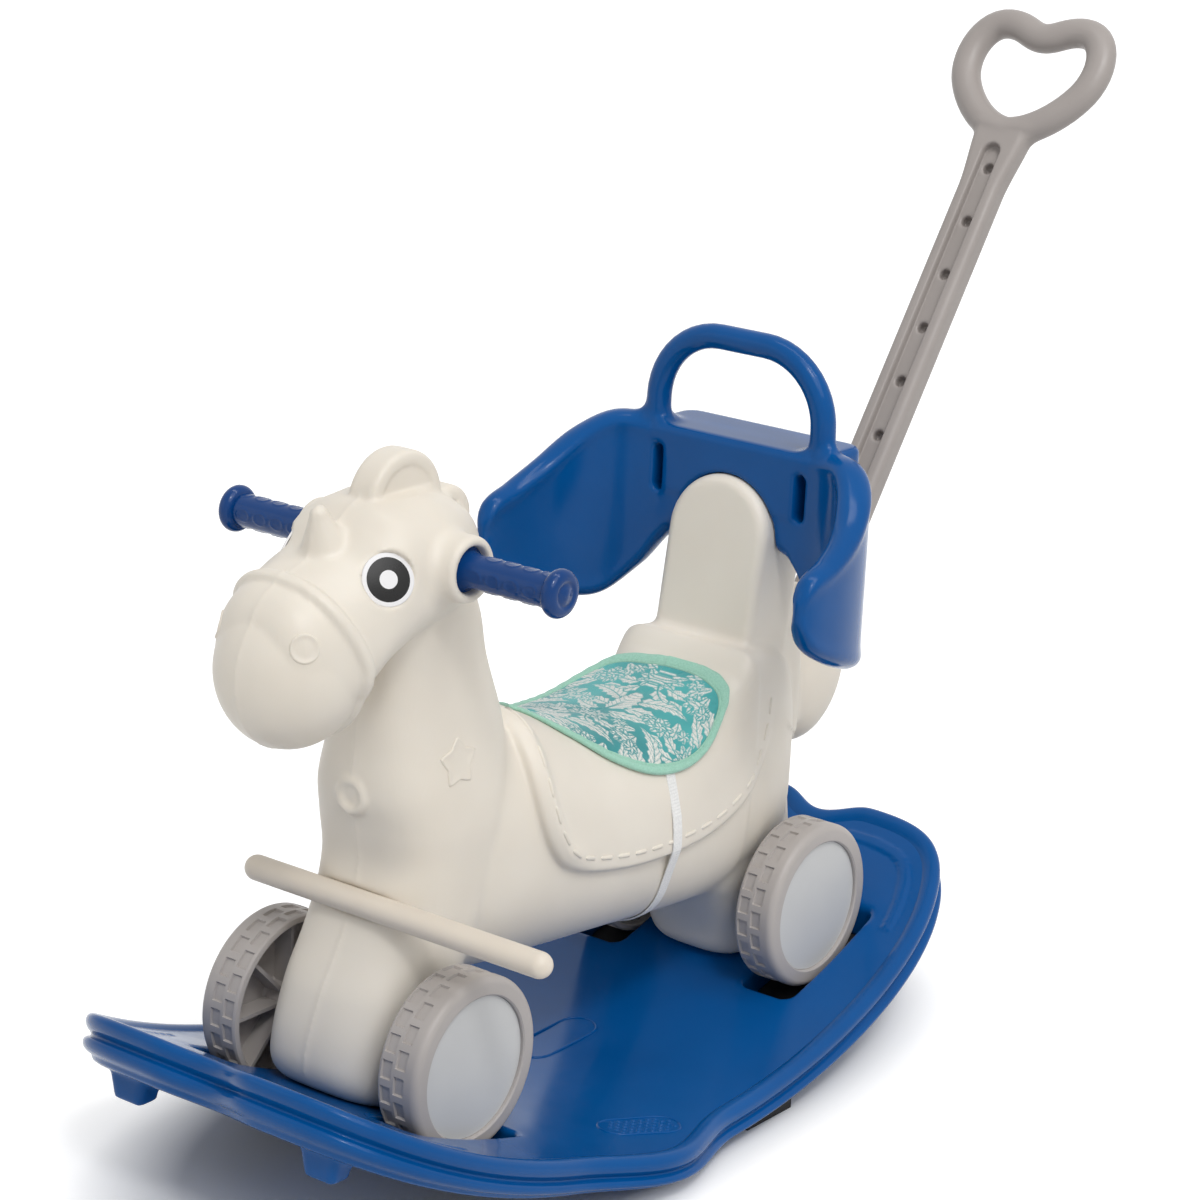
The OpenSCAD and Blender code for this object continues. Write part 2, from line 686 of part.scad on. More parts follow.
// Handlebar: a steel tube through the head with a moulded grip on each end
grip_end = bar_len / 2;
flange_t = 13;
flare_len = 16;
grip_floor = 9;
module handlebar() {
    lifted(steel) translate([0, bar_y, bar_z]) along_x(0)
        difference() {
            cylinder(d = bar_d, h = 2 * (grip_end - grip_floor), center = true);
            cylinder(d = bar_d - 3, h = bar_len, center = true);
        }
}
module grip(side) {
    start = collar_x - flare_depth;
    neck = start + flare_len;
    lip = flange_t / 2;
    profile = concat(
        [[bar_d / 2, start + fit_gap], [flare_d / 2, start + fit_gap], [flare_d / 2, start + 3]],
        [for (a = [15 : 15 : 90])
            let (drop = (flare_d - grip_d) / 2)
            [flare_d / 2 - drop * sin(a), neck - (flare_len - 3) * cos(a)]],
        [[grip_d / 2, grip_end - flange_t]],
        [for (a = [-90 : 15 : 90]) [flange_d / 2 - lip + lip * cos(a), grip_end - lip + lip * sin(a)]],
        [[0, grip_end], [0, grip_end - grip_floor], [bar_d / 2, grip_end - grip_floor]]
    );
    lifted(blue) translate([0, bar_y, bar_z]) mirror([side < 0 ? 1 : 0, 0, 0])
        along_x(0) rotate_extrude() polygon(profile);
}
module foot_rod() {
    lifted(cream) translate([rod_shift, rod_y, rod_z]) along_x(0) {
        cylinder(r = rod_r, h = rod_len - rod_d, center = true);
        for (s = [-1, 1]) translate([0, 0, s * (rod_len - rod_d) / 2]) sphere(r = rod_r);
    }
}

// Backrest: the panel's middle line in plan is straight, then each wing curves forward and out
back_y = aft_y - 2;
flat_share = 0.33;
wing_line = [[66, 0], [132, 0], [163, -46], [158, -137]];
// Share of the half span, lower edge, upper edge below back_top, thickness below back_t
back_table = [
    [0, 298, 1, 0], [0.3, 293, 0, 0], [0.42, 257, -4, 0], [0.55, 230, -3, 0], [0.68, 226, 13, 0],
    [0.8, 235, 36, 3], [0.9, 248, 52, 6], [0.97, 264, 62, 10], [1, 284, 78, 18]
];
back_steps = 26;
back_power = 4.5;
shelf_half = 90;
shelf_back = 55;
shelf_low = 325;
screw_x = 25;
screw_z = 338;
screw_len = 26;
screw_head_d = screw_d * 2;
screw_head_t = 4;
function bezier(p, u) =
    pow(1 - u, 3) * p[0] + 3 * u * pow(1 - u, 2) * p[1] + 3 * u * u * (1 - u) * p[2] + pow(u, 3) * p[3];
function bezier_dir(p, u) =
    pow(1 - u, 2) * (p[1] - p[0]) + 2 * u * (1 - u) * (p[2] - p[1]) + u * u * (p[3] - p[2]);
function back_place(s) = s < flat_share ? [wing_line[0][0] * s / flat_share, 0]
    : bezier(wing_line, (s - flat_share) / (1 - flat_share));
function back_dir(s) = s <= flat_share ? [1, 0]
    : let (d = bezier_dir(wing_line, (s - flat_share) / (1 - flat_share))) d / norm(d);
function back_ring(s) =
    let (
        k = abs(s),
        m = s < 0 ? -1 : 1,
        p = back_place(k),
        d = back_dir(k),
        r = row_at(back_table, k),
        half_t = (back_t - r[3]) / 2,
        low = r[1],
        top = back_top - r[2]
    )
    [for (i = [0 : small_sides - 1])
        let (a = 360 * (i + 0.5) / small_sides, t = half_t * power(cos(a), back_power))
        [m * (p[0] - t * d[1]), back_y + p[1] + t * d[0],
            (low + top) / 2 + (top - low) / 2 * power(sin(a), back_power)]];
loop_bend = 60;
module hand_loop() {
    leg = loop_w / 2 - loop_d / 2;
    high = back_top + loop_h - loop_d / 2;
    start = back_top - back_t;
    translate([0, back_y, 0]) {
        translate([0, 0, high]) along_x(0)
            cylinder(d = loop_d, h = 2 * (leg - loop_bend) + 1, center = true, $fn = 20);
        for (m = [0, 1]) mirror([m, 0, 0]) {
            translate([leg, 0, start]) cylinder(d = loop_d, h = high - loop_bend - start, $fn = 20);
            translate([leg - loop_bend, 0, high - loop_bend]) rotate([90, 0, 0])
                rotate_extrude(angle = 90, $fn = 48) translate([loop_bend, 0]) circle(d = loop_d, $fn = 20);
        }
    }
}
module shelf() {
    translate([0, back_y, 0]) loft([
        for (z = [shelf_low, back_top - 8, back_top - 3, back_top])
            let (in = z == back_top ? 5 : z == back_top - 3 ? 1.5 : 0)
            level_ring(shelf_half - in, -back_t / 2 + in, shelf_back - in, z, 6, small_sides)
    ]);
}
module back_screws() {
    for (s = [-1, 1])
        translate([s * screw_x, back_y + shelf_back, screw_z]) rotate([90, 0, 0]) children();
}
module belt_slot() {
    rotate([90, 0, 0]) linear_extrude(4 * back_t, center = true) {
        square([slot_w, slot_h - slot_w], center = true);
        for (s = [-1, 1]) translate([0, s * (slot_h - slot_w) / 2]) circle(d = slot_w);
    }
}
slot_z = 347;
module backrest() {
    lifted(blue) difference() {
        one_skin() difference() {
            union() {
                loft([for (s = steps(-1, 1, 2 * back_steps)) back_ring(s)]);
                shelf();
                hand_loop();
            }
            post(fit_gap);
        }
        for (s = [-1, 1]) translate([s * slot_gap / 2, back_y, slot_z]) belt_slot();
        back_screws() cylinder(d = screw_d, h = 2 * screw_len, center = true);
    }
}
module backrest_screws() {
    lifted(steel) back_screws() {
        cylinder(d = screw_d, h = screw_len);
        translate([0, 0, -screw_head_t]) cylinder(d = screw_head_d, h = screw_head_t);
    }
}

// Push handle: a grooved bar with a heart-shaped hand loop
dimple_count = 6;
bar_top = mouth_z + push_len;
groove_top = bar_top - 14;
bar_power = 4;
neck_rise = 60;
heart_steps = 9;
// Middle of the heart's tube on one side, from its dip round to its point: across, and above the bar's end
heart_line = [
    [[0, 98], [13, 98], [20, 108], [heart_half - 24, 108]],
    [[heart_half - 24, 108], [heart_half + 1, 108], [heart_half + 10, 74], [heart_half - 1, 50]],
    [[heart_half - 1, 50], [heart_half - 10, 30], [24, 8], [0, -2]]
];
heart_half_line = [for (k = [0 : 2], i = [0 : heart_steps - 1])
    [0, bar_top] + bezier(heart_line[k], i / heart_steps)];
heart_loop = concat(
    heart_half_line,
    [[0, bar_top] + heart_line[2][3]],
    [for (i = [len(heart_half_line) - 1 : -1 : 1]) [-heart_half_line[i][0], heart_half_line[i][1]]]
);
heart_sides = 12;
heart_depth = push_t * 1.1;
heart_mid_y = push_front + push_t / 2;
module heart() {
    n = len(heart_loop);
    points = [for (k = [0 : n - 1])
        let (
            d = heart_loop[(k + 1) % n] - heart_loop[(k + n - 1) % n],
            side = [d[1], -d[0]] / norm(d)
        )
        each [for (i = [0 : heart_sides - 1])
            let (a = 360 * i / heart_sides, w = heart_d / 2 * cos(a))
            [heart_loop[k][0] + side[0] * w, heart_mid_y + heart_depth / 2 * sin(a),
                heart_loop[k][1] + side[1] * w]]];
    faces = [for (k = [0 : n - 1], i = [0 : heart_sides - 1])
        let (
            a = k * heart_sides + i,
            b = k * heart_sides + (i + 1) % heart_sides,
            c = (k + 1) % n * heart_sides + i,
            e = (k + 1) % n * heart_sides + (i + 1) % heart_sides
        )
        each [[a, e, b], [a, c, e]]];
    polyhedron(points, faces);
}
module push_bar() {
    foot = mouth_z - push_seat;
    loft(concat(
        [for (z = [foot, mouth_z, bar_top - neck_rise])
            level_ring(push_w / 2, push_front, push_front + push_t, z, bar_power, body_sides)],
        [for (u = [0.25 : 0.25 : 1])
            level_ring(push_w / 2 + 6 * u * u, push_front, push_front + push_t,
                bar_top - neck_rise * (1 - u), bar_power, body_sides)]
    ));
}
module push_handle() {
    lifted(taupe) push_place() one_skin() difference() {
        union() {
            push_bar();
            heart();
        }
        translate([-push_groove_w / 2, push_front - 1, mouth_z])
            cube([push_groove_w, push_groove_t + 1, groove_top - mouth_z - push_groove_w / 2]);
        translate([0, 0, groove_top - push_groove_w / 2]) rotate([90, 0, 0])
            cylinder(d = push_groove_w, h = push_groove_t + 1, $fn = 24);
        for (i = [0 : dimple_count - 1]) translate([0, dimple_t, i * dimple_pitch]) rotate([90, 0, 0])
            cylinder(d = dimple_d, h = 2 * dimple_t, $fn = 20);
    }
}

// Seat pad: a leaf that points to the neck and hangs over both sides of the saddle
pad_front_y = -71;
pad_turn = 0.72;
pad_spokes = 40;
// Share of the pad's length from its front, and share of its greatest reach
pad_table = [
    [0, 0.02], [0.05, 0.2], [0.15, 0.44], [0.3, 0.72], [0.48, 0.93], [0.65, 1], [0.8, 0.97], [0.91, 0.82],
    [0.97, 0.58], [1, 0.03]
];
pad_lift = flap_t + 0.6;
far_flat = 0.8;
pad_mid = 0.56;
function on_saddle(y, angle, lift) =
    let (
        r = row_at(barrel_table, (y - fore_y) / wheelbase),
        half_h = (r[3] - r[2]) / 2,
        n = cos(angle) < 0 ? min(r[4], belly_power) : r[4]
    )
    [(r[1] + lift) * power(sin(angle), n), y, r[2] + half_h + (half_h + lift) * power(cos(angle), n)];
// The pad lies on the near flank but its far half stays nearly flat
function on_pad(y, reach, lift) =
    let (p = on_saddle(y, abs(reach) * pad_turn, lift), top = on_saddle(y, 0, lift)[2])
    reach >= 0 ? p : [far_flat * reach - (1 - far_flat) * p[0], y, top - (1 - far_flat) * (top - p[2])];
// Edge of the pad as distance along Y and reach to the side, once round
pad_rim = concat(
    [for (i = [0 : pad_spokes]) let (s = (1 - cos(180 * i / pad_spokes)) / 2)
        [pad_front_y + s * pad_len, pad_half * row_at(pad_table, s)[1]]],
    [for (i = [pad_spokes - 1 : -1 : 1]) let (s = (1 - cos(180 * i / pad_spokes)) / 2)
        [pad_front_y + s * pad_len, -pad_half * row_at(pad_table, s)[1]]]
);
pad_centre = [pad_front_y + pad_mid * pad_len, 0];
function pad_inward(p, d) = let (v = p - pad_centre) v * (1 - d / norm(v));
function pad_ring(d, share, lift) =
    [for (p = pad_rim)
        let (q = pad_centre + pad_inward(p, d) * share)
        on_pad(q[0], q[1], lift)];
module seat_pad() {
    shares = [0.06, 0.3, 0.55, 0.75, 0.9, 1];
    gap = bind_w + fit_gap;
    lifted(teal) loft(concat(
        [for (k = shares) pad_ring(gap, k, pad_lift)],
        [for (i = [len(shares) - 1 : -1 : 0])
            let (k = shares[i])
            pad_ring(gap, k, pad_lift + pad_edge_t + (pad_t - pad_edge_t) * (1 - k * k * k))]
    ));
}
module pad_binding() {
    rings = [
        pad_ring(bind_w, 1, pad_lift), pad_ring(0.5, 1, pad_lift),
        pad_ring(0, 1, pad_lift + pad_edge_t / 2),
        pad_ring(0.5, 1, pad_lift + pad_edge_t), pad_ring(bind_w, 1, pad_lift + pad_edge_t)
    ];
    n = len(pad_rim);
    lifted(mint) polyhedron(
        points = [for (r = rings) each r],
        faces = [for (k = [0 : 4], i = [0 : n - 1])
            let (
                a = k * n + i,
                b = k * n + (i + 1) % n,
                c = (k + 1) % 5 * n + i,
                e = (k + 1) % 5 * n + (i + 1) % n
            )
            each [[a, c, e], [a, e, b]]]
    );
}
strap_y = 60;
strap_steps = 34;
strap_start = pad_half * pad_turn + 3;
function strap_section(points) = [
    for (k = [0 : 1]) [points[0][0], strap_y + strap_w * (k - 0.5), points[0][1]],
    for (k = [1 : -1 : 0]) [points[1][0], strap_y + strap_w * (k - 0.5), points[1][1]]
];
function strap_round(a) =
    let (p = on_saddle(strap_y, a, pad_lift), q = on_saddle(strap_y, a, pad_lift + strap_t))
    strap_section([[p[0], p[2]], [q[0], q[2]]]);
function strap_top() =
    let (p = on_pad(strap_y, bind_w / 2 - pad_half, pad_lift))
    strap_section([[p[0] + strap_t, p[2] - fit_gap], [p[0], p[2] - fit_gap]]);
module pad_strap() {
    lifted(white) loft(concat(
        [for (a = steps(strap_start, 270, strap_steps)) strap_round(a)],
        [strap_top()]
    ));
}

rocker_board();
grip_pads();
horse_body();
eye(1);  // left_eye
eye(-1);  // right_eye
handlebar();
grip(1);  // left_grip
grip(-1);  // right_grip
foot_rod();
axle_at(fore_y);  // front_axle
axle_at(aft_y);  // rear_axle
axle_bushes();
axle_nuts();
wheel_at(1, -1);  // front_left_wheel
wheel_at(-1, -1);  // front_right_wheel
wheel_at(1, 1);  // rear_left_wheel
wheel_at(-1, 1);  // rear_right_wheel
cap_at(1, -1);  // front_left_cap
cap_at(-1, -1);  // front_right_cap
cap_at(1, 1);  // rear_left_cap
cap_at(-1, 1);  // rear_right_cap
backrest();
backrest_screws();
push_handle();
seat_pad();
pad_binding();
pad_strap();
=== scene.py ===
"""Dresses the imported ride-on horse: moulded skins, tyre tread, stitches, brocade and studio light."""

import math

import bpy
import numpy as np
import openvdb
from mathutils import Matrix, Vector
from mathutils.bvhtree import BVHTree


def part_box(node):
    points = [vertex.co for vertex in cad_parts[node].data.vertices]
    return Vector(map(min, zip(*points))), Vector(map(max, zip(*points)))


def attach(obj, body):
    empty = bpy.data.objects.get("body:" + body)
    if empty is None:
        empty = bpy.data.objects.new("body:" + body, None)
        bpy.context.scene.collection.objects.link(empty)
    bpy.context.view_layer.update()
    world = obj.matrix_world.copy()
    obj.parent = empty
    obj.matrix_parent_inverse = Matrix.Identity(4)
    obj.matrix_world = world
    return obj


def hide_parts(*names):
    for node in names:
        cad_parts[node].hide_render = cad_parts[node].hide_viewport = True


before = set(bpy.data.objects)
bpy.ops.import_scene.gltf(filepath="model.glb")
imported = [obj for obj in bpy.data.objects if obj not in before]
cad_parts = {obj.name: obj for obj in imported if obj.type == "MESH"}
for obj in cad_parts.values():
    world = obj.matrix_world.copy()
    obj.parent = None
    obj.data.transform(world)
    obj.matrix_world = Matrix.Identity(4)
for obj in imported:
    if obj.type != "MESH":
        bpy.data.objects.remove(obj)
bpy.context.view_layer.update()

# Sizes are in millimetres, and become metres when a mesh is made
MM = 0.001
FAR = 1000.0
# Every voxel pitch is multiplied by this; 2 makes the voxels twice as wide
COARSE = 1.0
SIDES = (("left", 1), ("right", -1))

front, rear = (np.array(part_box(f"{end}_left_wheel")) / MM for end in ("front", "rear"))
FORE_Y = front[:, 1].mean()
AFT_Y = rear[:, 1].mean()
AXLE_Z = front[:, 2].mean()
WHEELBASE = AFT_Y - FORE_Y
WHEEL_R = np.ptp(front[:, 2]) / 2
WHEEL_X = front[0, 0]
WHEEL_W = np.ptp(front[:, 0])


def turn_of(degrees):
    """Cosine and sine of an angle."""
    return math.cos(math.radians(degrees)), math.sin(math.radians(degrees))


def add_object(name, data):
    item = bpy.data.objects.new(name, data)
    bpy.context.scene.collection.objects.link(item)
    return item


# Camera, at the photograph's angle
CAMERA_TARGET = Vector((0, 43, 401)) * MM
CAMERA_DISTANCE = 2742 * MM
CAMERA_AZIMUTH = 37.06
CAMERA_ELEVATION = 16.61
CAMERA_ROLL = 2.65
CLIP_END = 100
SENSOR_WIDTH = 36
# Focal length as a share of the sensor's width, from pixels of the photograph
LENS_SHARE = 3476 / 1200


def add_camera():
    data = bpy.data.cameras.new("camera")
    data.sensor_width = SENSOR_WIDTH
    data.lens = LENS_SHARE * SENSOR_WIDTH
    data.clip_end = CLIP_END
    camera = add_object("camera", data)
    c, s = turn_of(CAMERA_AZIMUTH)
    level, rise = turn_of(CAMERA_ELEVATION)
    back = Vector((s * level, -c * level, rise))
    right = (-back).cross(Vector((0, 0, 1))).normalized()
    up = right.cross(-back)
    c, s = turn_of(CAMERA_ROLL)
    place = Matrix((c * right + s * up, c * up - s * right, back)).transposed().to_4x4()
    place.translation = CAMERA_TARGET + CAMERA_DISTANCE * back
    camera.matrix_world = place
    bpy.context.scene.camera = camera


add_camera()


# Meshes: each is a pair of points and faces
RELAX_FACTOR = 0.5


def new_piece(name, mesh, body, slot, material, *nodes, relax=0, sharp=0):
    """A smooth piece that rides on a body and may stand for CAD nodes.

    relax counts rounds of smoothing, and edges sharper than the angle sharp stay crisp.
    """
    points, faces = mesh
    data = bpy.data.meshes.new(name)
    data.from_pydata((np.asarray(points, float) * MM).tolist(), [], [list(map(int, f)) for f in faces])
    data.validate()
    data.shade_smooth()
    data.materials.append(material)
    piece = add_object(name, data)
    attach(piece, body)
    if nodes:
        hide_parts(*nodes)
    if relax:
        modifier = piece.modifiers.new("relax", "SMOOTH")
        modifier.factor = RELAX_FACTOR
        modifier.iterations = relax
    if sharp:
        data.set_sharp_from_angle(angle=math.radians(sharp))
    return piece


def grid_faces(rows, columns, closed=True, capped=False):
    """Quads of a grid of points, row by row.

    closed joins the last column to the first, and capped fills the first row and the last.
    """
    faces = [
        (r * columns + c, r * columns + (c + 1) % columns,
         (r + 1) * columns + (c + 1) % columns, (r + 1) * columns + c)
        for r in range(rows - 1) for c in range(columns if closed else columns - 1)
    ]
    if capped:
        faces += [tuple(range(columns))[::-1], tuple(range((rows - 1) * columns, rows * columns))]
    return faces


def flipped(faces):
    return [tuple(reversed(face)) for face in faces]


def joined(parts):
    """One mesh from several."""
    points, faces, count = [], [], 0
    for part_points, part_faces in parts:
        points.append(np.asarray(part_points))
        faces += [tuple(i + count for i in face) for face in part_faces]
        count += len(part_points)
    return np.vstack(points), faces


def mirrored(mesh, side):
    """The mesh itself, or its reflection in the middle plane."""
    points, faces = mesh
    return (points, faces) if side > 0 else (points * (-1, 1, 1), flipped(faces))


def turned(profile, angles, worked=None, relief=None):
    """Points turned about X: rows are radius and place. The worked radius gets relief added."""
    rings = []
    for r, x in profile:
        radius = np.full(len(angles), r) + (relief(x) if r == worked else 0)
        place = np.full(len(angles), x)
        rings.append(np.column_stack([place, radius * np.cos(angles), radius * np.sin(angles)]))
    return np.vstack(rings)


def once_round(count):
    return np.linspace(0, 2 * np.pi, count, endpoint=False)


def arc(centre, radii, start, end, count):
    """Points of an arc in a plane, between two angles in degrees."""
    turn = np.radians(np.linspace(start, end, count))
    return np.column_stack([centre[0] + radii[0] * np.cos(turn), centre[1] + radii[1] * np.sin(turn)])


def smooth_step(low, high, value):
    share = np.clip((value - low) / (high - low), 0, 1)
    return share * share * (3 - 2 * share)


def row_at(table, keys):
    """Smooth reading of a table whose rows start with a rising key."""
    table = np.array(table, float)
    marks = table[:, 0]
    keys = np.clip(np.asarray(keys, float), marks[0], marks[-1])
    i = np.clip(np.searchsorted(marks, keys, side="right") - 1, 0, len(marks) - 2)
    before = np.vstack([table[:1], table[:-1]])
    after = np.vstack([table[1:], table[-1:]])
    slope = (after - before) / (after[:, :1] - before[:, :1])
    step = (marks[i + 1] - marks[i])[..., None]
    u = (keys - marks[i])[..., None] / step
    return (
        (2 * u**3 - 3 * u**2 + 1) * table[i] + (u**3 - 2 * u**2 + u) * step * slope[i]
        + (3 * u**2 - 2 * u**3) * table[i + 1] + (u**3 - u**2) * step * slope[i + 1]
    )


def bezier(points, u):
    a, b, c, d = (np.array(p, float) for p in points)
    u = np.asarray(u, float)[:, None]
    return (1 - u)**3 * a + 3 * u * (1 - u)**2 * b + 3 * u**2 * (1 - u) * c + u**3 * d


def run_marks(line):
    """Distance along a line of points to each of them."""
    return np.concatenate([[0], np.cumsum(np.linalg.norm(np.diff(line, axis=0), axis=1))])


def read_line(line, marks, places):
    """A line of points, read at places between its marks."""
    return np.column_stack([np.interp(places, marks, column) for column in np.transpose(line)])


def rounded_line(points, count):
    """Points along a smooth open line through the given ones."""
    marks = run_marks(np.array(points, float))
    return row_at(np.column_stack([marks, points]), np.linspace(0, marks[-1], count))[:, 1:]


def unit_rows(vectors):
    return vectors / np.linalg.norm(vectors, axis=1)[:, None]


def right_of(run):
    """Unit vectors to the right of directions in a plane."""
    return unit_rows(np.column_stack([run[:, 1], -run[:, 0]]))


# Sculpting: distance fields in a block of voxels on the left of the middle plane, then mirrored
def smooth_min(a, b, soft):
    soft = np.maximum(soft, 1e-3)
    share = np.clip(soft - np.abs(a - b), 0, None) / soft
    return np.minimum(a, b) - share * share * soft / 4


def smooth_max(a, b, soft):
    return -smooth_min(-a, -b, soft)


def as_distance(f, pitch):
    """A field that is zero on a surface, rescaled so that it grows one for one with distance."""
    gx, gy, gz = np.gradient(f, pitch)
    return f / np.sqrt(gx * gx + gy * gy + gz * gz + 1e-9)


def crease(a, b, pitch):
    """0 where two surfaces run alike, 1 where they meet at a right angle or sharper."""
    slope_a = np.gradient(a, pitch)
    slope_b = np.gradient(b, pitch)
    dot = sum(p * q for p, q in zip(slope_a, slope_b))
    size = np.sqrt(sum(p * p for p in slope_a) * sum(q * q for q in slope_b)) + 1e-6
    return np.clip(1 - dot / size, 0, 1)


class Clay:
    """Each change takes a shape, the corners of the block it lies in, and how softly it joins."""

    def __init__(self, low, high, pitch):
        self.pitch = pitch * COARSE
        counts = [math.ceil((b - a) / self.pitch) + 1 for a, b in zip(low, high)]
        self.low = np.array(low, float)
        self.axes = [(a + self.pitch * np.arange(n)).astype(np.float32) for a, n in zip(low, counts)]
        self.field = np.full(counts, FAR, np.float32)

    def measure(self, shape, block):
        """The voxels of a block, and what a shape gives there."""
        low, high = block if block else ((-FAR,) * 3, (FAR,) * 3)
        cut = tuple(
            slice(max(int(np.searchsorted(axis, a)) - 1, 0), int(np.searchsorted(axis, b)) + 1)
            for axis, a, b in zip(self.axes, low, high)
        )
        x, y, z = np.ix_(*(axis[c] for axis, c in zip(self.axes, cut)))
        value = shape(x, y, z, self.pitch)
        return cut, np.broadcast_to(value, self.field[cut].shape).astype(np.float32)

    def add(self, shape, block=None, soft=0.0):
        cut, new = self.measure(shape, block)
        old = self.field[cut]
        if soft:
            self.field[cut] = smooth_min(old, new, soft * crease(old, new, self.pitch))
        else:
            self.field[cut] = np.minimum(old, new)

    def cut(self, shape, block=None, soft=0.5):
        cut, new = self.measure(shape, block)
        self.field[cut] = smooth_max(self.field[cut], -new, soft)

    def swell(self, shape, block):
        """Moves the surface out by what a shape gives."""
        cut, rise = self.measure(shape, block)
        self.field[cut] -= rise

    def skin(self, lift=0.0):
        """Points and quads of the surface of both halves."""
        field = np.concatenate([self.field[:0:-1], self.field])
        reach = 4 * self.pitch
        grid = openvdb.FloatGrid(reach)
        grid.copyFromArray(np.clip(field, -reach, reach))
        points, quads = grid.convertToQuads()
        points = points * self.pitch + self.low
        points[:, 0] -= (self.field.shape[0] - 1) * self.pitch
        corner = points[quads]
        side = np.cross(corner[:, 1] - corner[:, 0], corner[:, 2] - corner[:, 0])
        if np.einsum("ij,ij->i", side, corner[:, 0] - points.mean(0)).sum() < 0:
            quads = quads[:, ::-1]
        points[:, 2] += lift
        return points, quads


def block_round(points, margin):
    points = np.array(points, float)
    return points.min(0) - margin, points.max(0) + margin


def block_across(y, z, reach, end, start=0):
    """Corners of a block about a line along X, from start to end."""
    return (start, y - reach, z - reach), (end, y + reach, z + reach)


# Fields: each gives the distance from a form, negative inside
END_SOFT = 8


def superellipse(p, q, power, pitch):
    """From places as shares of its half sizes."""
    return as_distance((np.abs(p)**power + np.abs(q)**power)**(1 / power) - 1, pitch)


def level_loft(table, y0, power):
    """Superellipses in level planes; rows are height, front, back and half width."""
    def shape(x, y, z, pitch):
        row = row_at(table, z.ravel()).astype(np.float32)
        middle = y0 + (row[:, 1] + row[:, 2]) / 2
        depth = (row[:, 2] - row[:, 1]) / 2
        return np.maximum(superellipse(x / row[:, 3], (y - middle) / depth, power, pitch), z - table[-1][0])
    return shape


def upright_loft(table, y0, unit, under_power, top_power=None):
    """Superellipses in upright planes; rows are place along Y, half width, low, top and the top's power."""
    def shape(x, y, z, pitch):
        row = row_at(table, (y.ravel() - y0) / unit).astype(np.float32)[None, :, :, None]
        half, low, top = row[:, :, 1], row[:, :, 2], row[:, :, 3]
        upper = row[:, :, 4] if top_power is None else top_power
        middle = (low + top) / 2
        power = np.where(z < middle, np.minimum(upper, under_power), upper)
        tube_wall = superellipse(x / half, (z - middle) / ((top - low) / 2), power, pitch)
        start, end = y0 + table[0][0] * unit, y0 + table[-1][0] * unit
        return smooth_max(tube_wall, np.maximum(start - y, y - end), END_SOFT)
    return shape


def ellipsoid(centre, radii):
    def shape(x, y, z, pitch):
        a, b, c = ((p - q) / r for p, q, r in zip((x, y, z), centre, radii))
        return as_distance(np.sqrt(a * a + b * b + c * c + 1e-6) - 1, pitch)
    return shape


def rounded(radius, *bounds):
    """Where bounds meet, with their edges rounded."""
    inset = np.broadcast_arrays(*(bound + radius for bound in bounds))
    outer = np.sqrt(sum(np.maximum(p, 0)**2 for p in inset))
    return np.minimum(np.maximum.reduce(inset), 0) + outer - radius


def cross_disc(y0, z0, radius, half, edge):
    """A disc or bar along X."""
    def shape(x, y, z, pitch):
        return rounded(edge, np.hypot(y - y0, z - z0) - radius, np.abs(x) - half)
    return shape


def bore_from(y0, z0, radius, start):
    """An endless hole along X that starts at a place on each side."""
    def shape(x, y, z, pitch):
        return np.maximum(np.hypot(y - y0, z - z0) - radius, start - np.abs(x))
    return shape


def tube(points, radii):
    """A tube along a line, with one radius or a radius for each point."""
    radii = np.broadcast_to(np.asarray(radii, float), (len(points),))

    def shape(x, y, z, pitch):
        best = np.float32(FAR)
        for a, b, ra, rb in zip(points[:-1], points[1:], radii[:-1], radii[1:]):
            run = b - a
            gap = [p - q for p, q in zip((x, y, z), a)]
            t = np.clip(sum(g * r for g, r in zip(gap, run)) / (run @ run), 0, 1)
            away = np.sqrt(sum((g - t * r)**2 for g, r in zip(gap, run)))
            best = np.minimum(best, away - (ra + t * (rb - ra)))
        return best
    return shape


def polygon_distance(points, p, q):
    """Signed distance to a closed outline in a plane, negative inside."""
    best = np.full(np.broadcast(p, q).shape, FAR)
    inside = np.zeros(best.shape, bool)
    for (ax, ay), (bx, by) in zip(points, np.roll(points, -1, axis=0)):
        run_x, run_y = bx - ax, by - ay
        t = np.clip(((p - ax) * run_x + (q - ay) * run_y) / (run_x**2 + run_y**2 + 1e-12), 0, 1)
        best = np.minimum(best, np.hypot(p - ax - t * run_x, q - ay - t * run_y))
        spans = (ay > q) != (by > q)
        inside ^= spans & (p < run_x * (q - ay) / (run_y + 1e-12) + ax)
    return np.where(inside, -best, best)


def leaning(y0, z0, lean):
    """Turns places into a frame whose Z leans back from upright by an angle in degrees."""
    c, s = turn_of(lean)

    def local(y, z):
        return (y - y0) * c - (z - z0) * s, (y - y0) * s + (z - z0) * c
    return local


# Materials
def linear(r, g, b):
    """A colour written as 0 to 255, as the shader takes it."""
    return [((v / 255 + 0.055) / 1.055)**2.4 if v > 10 else v / 255 / 12.92 for v in (r, g, b)] + [1]


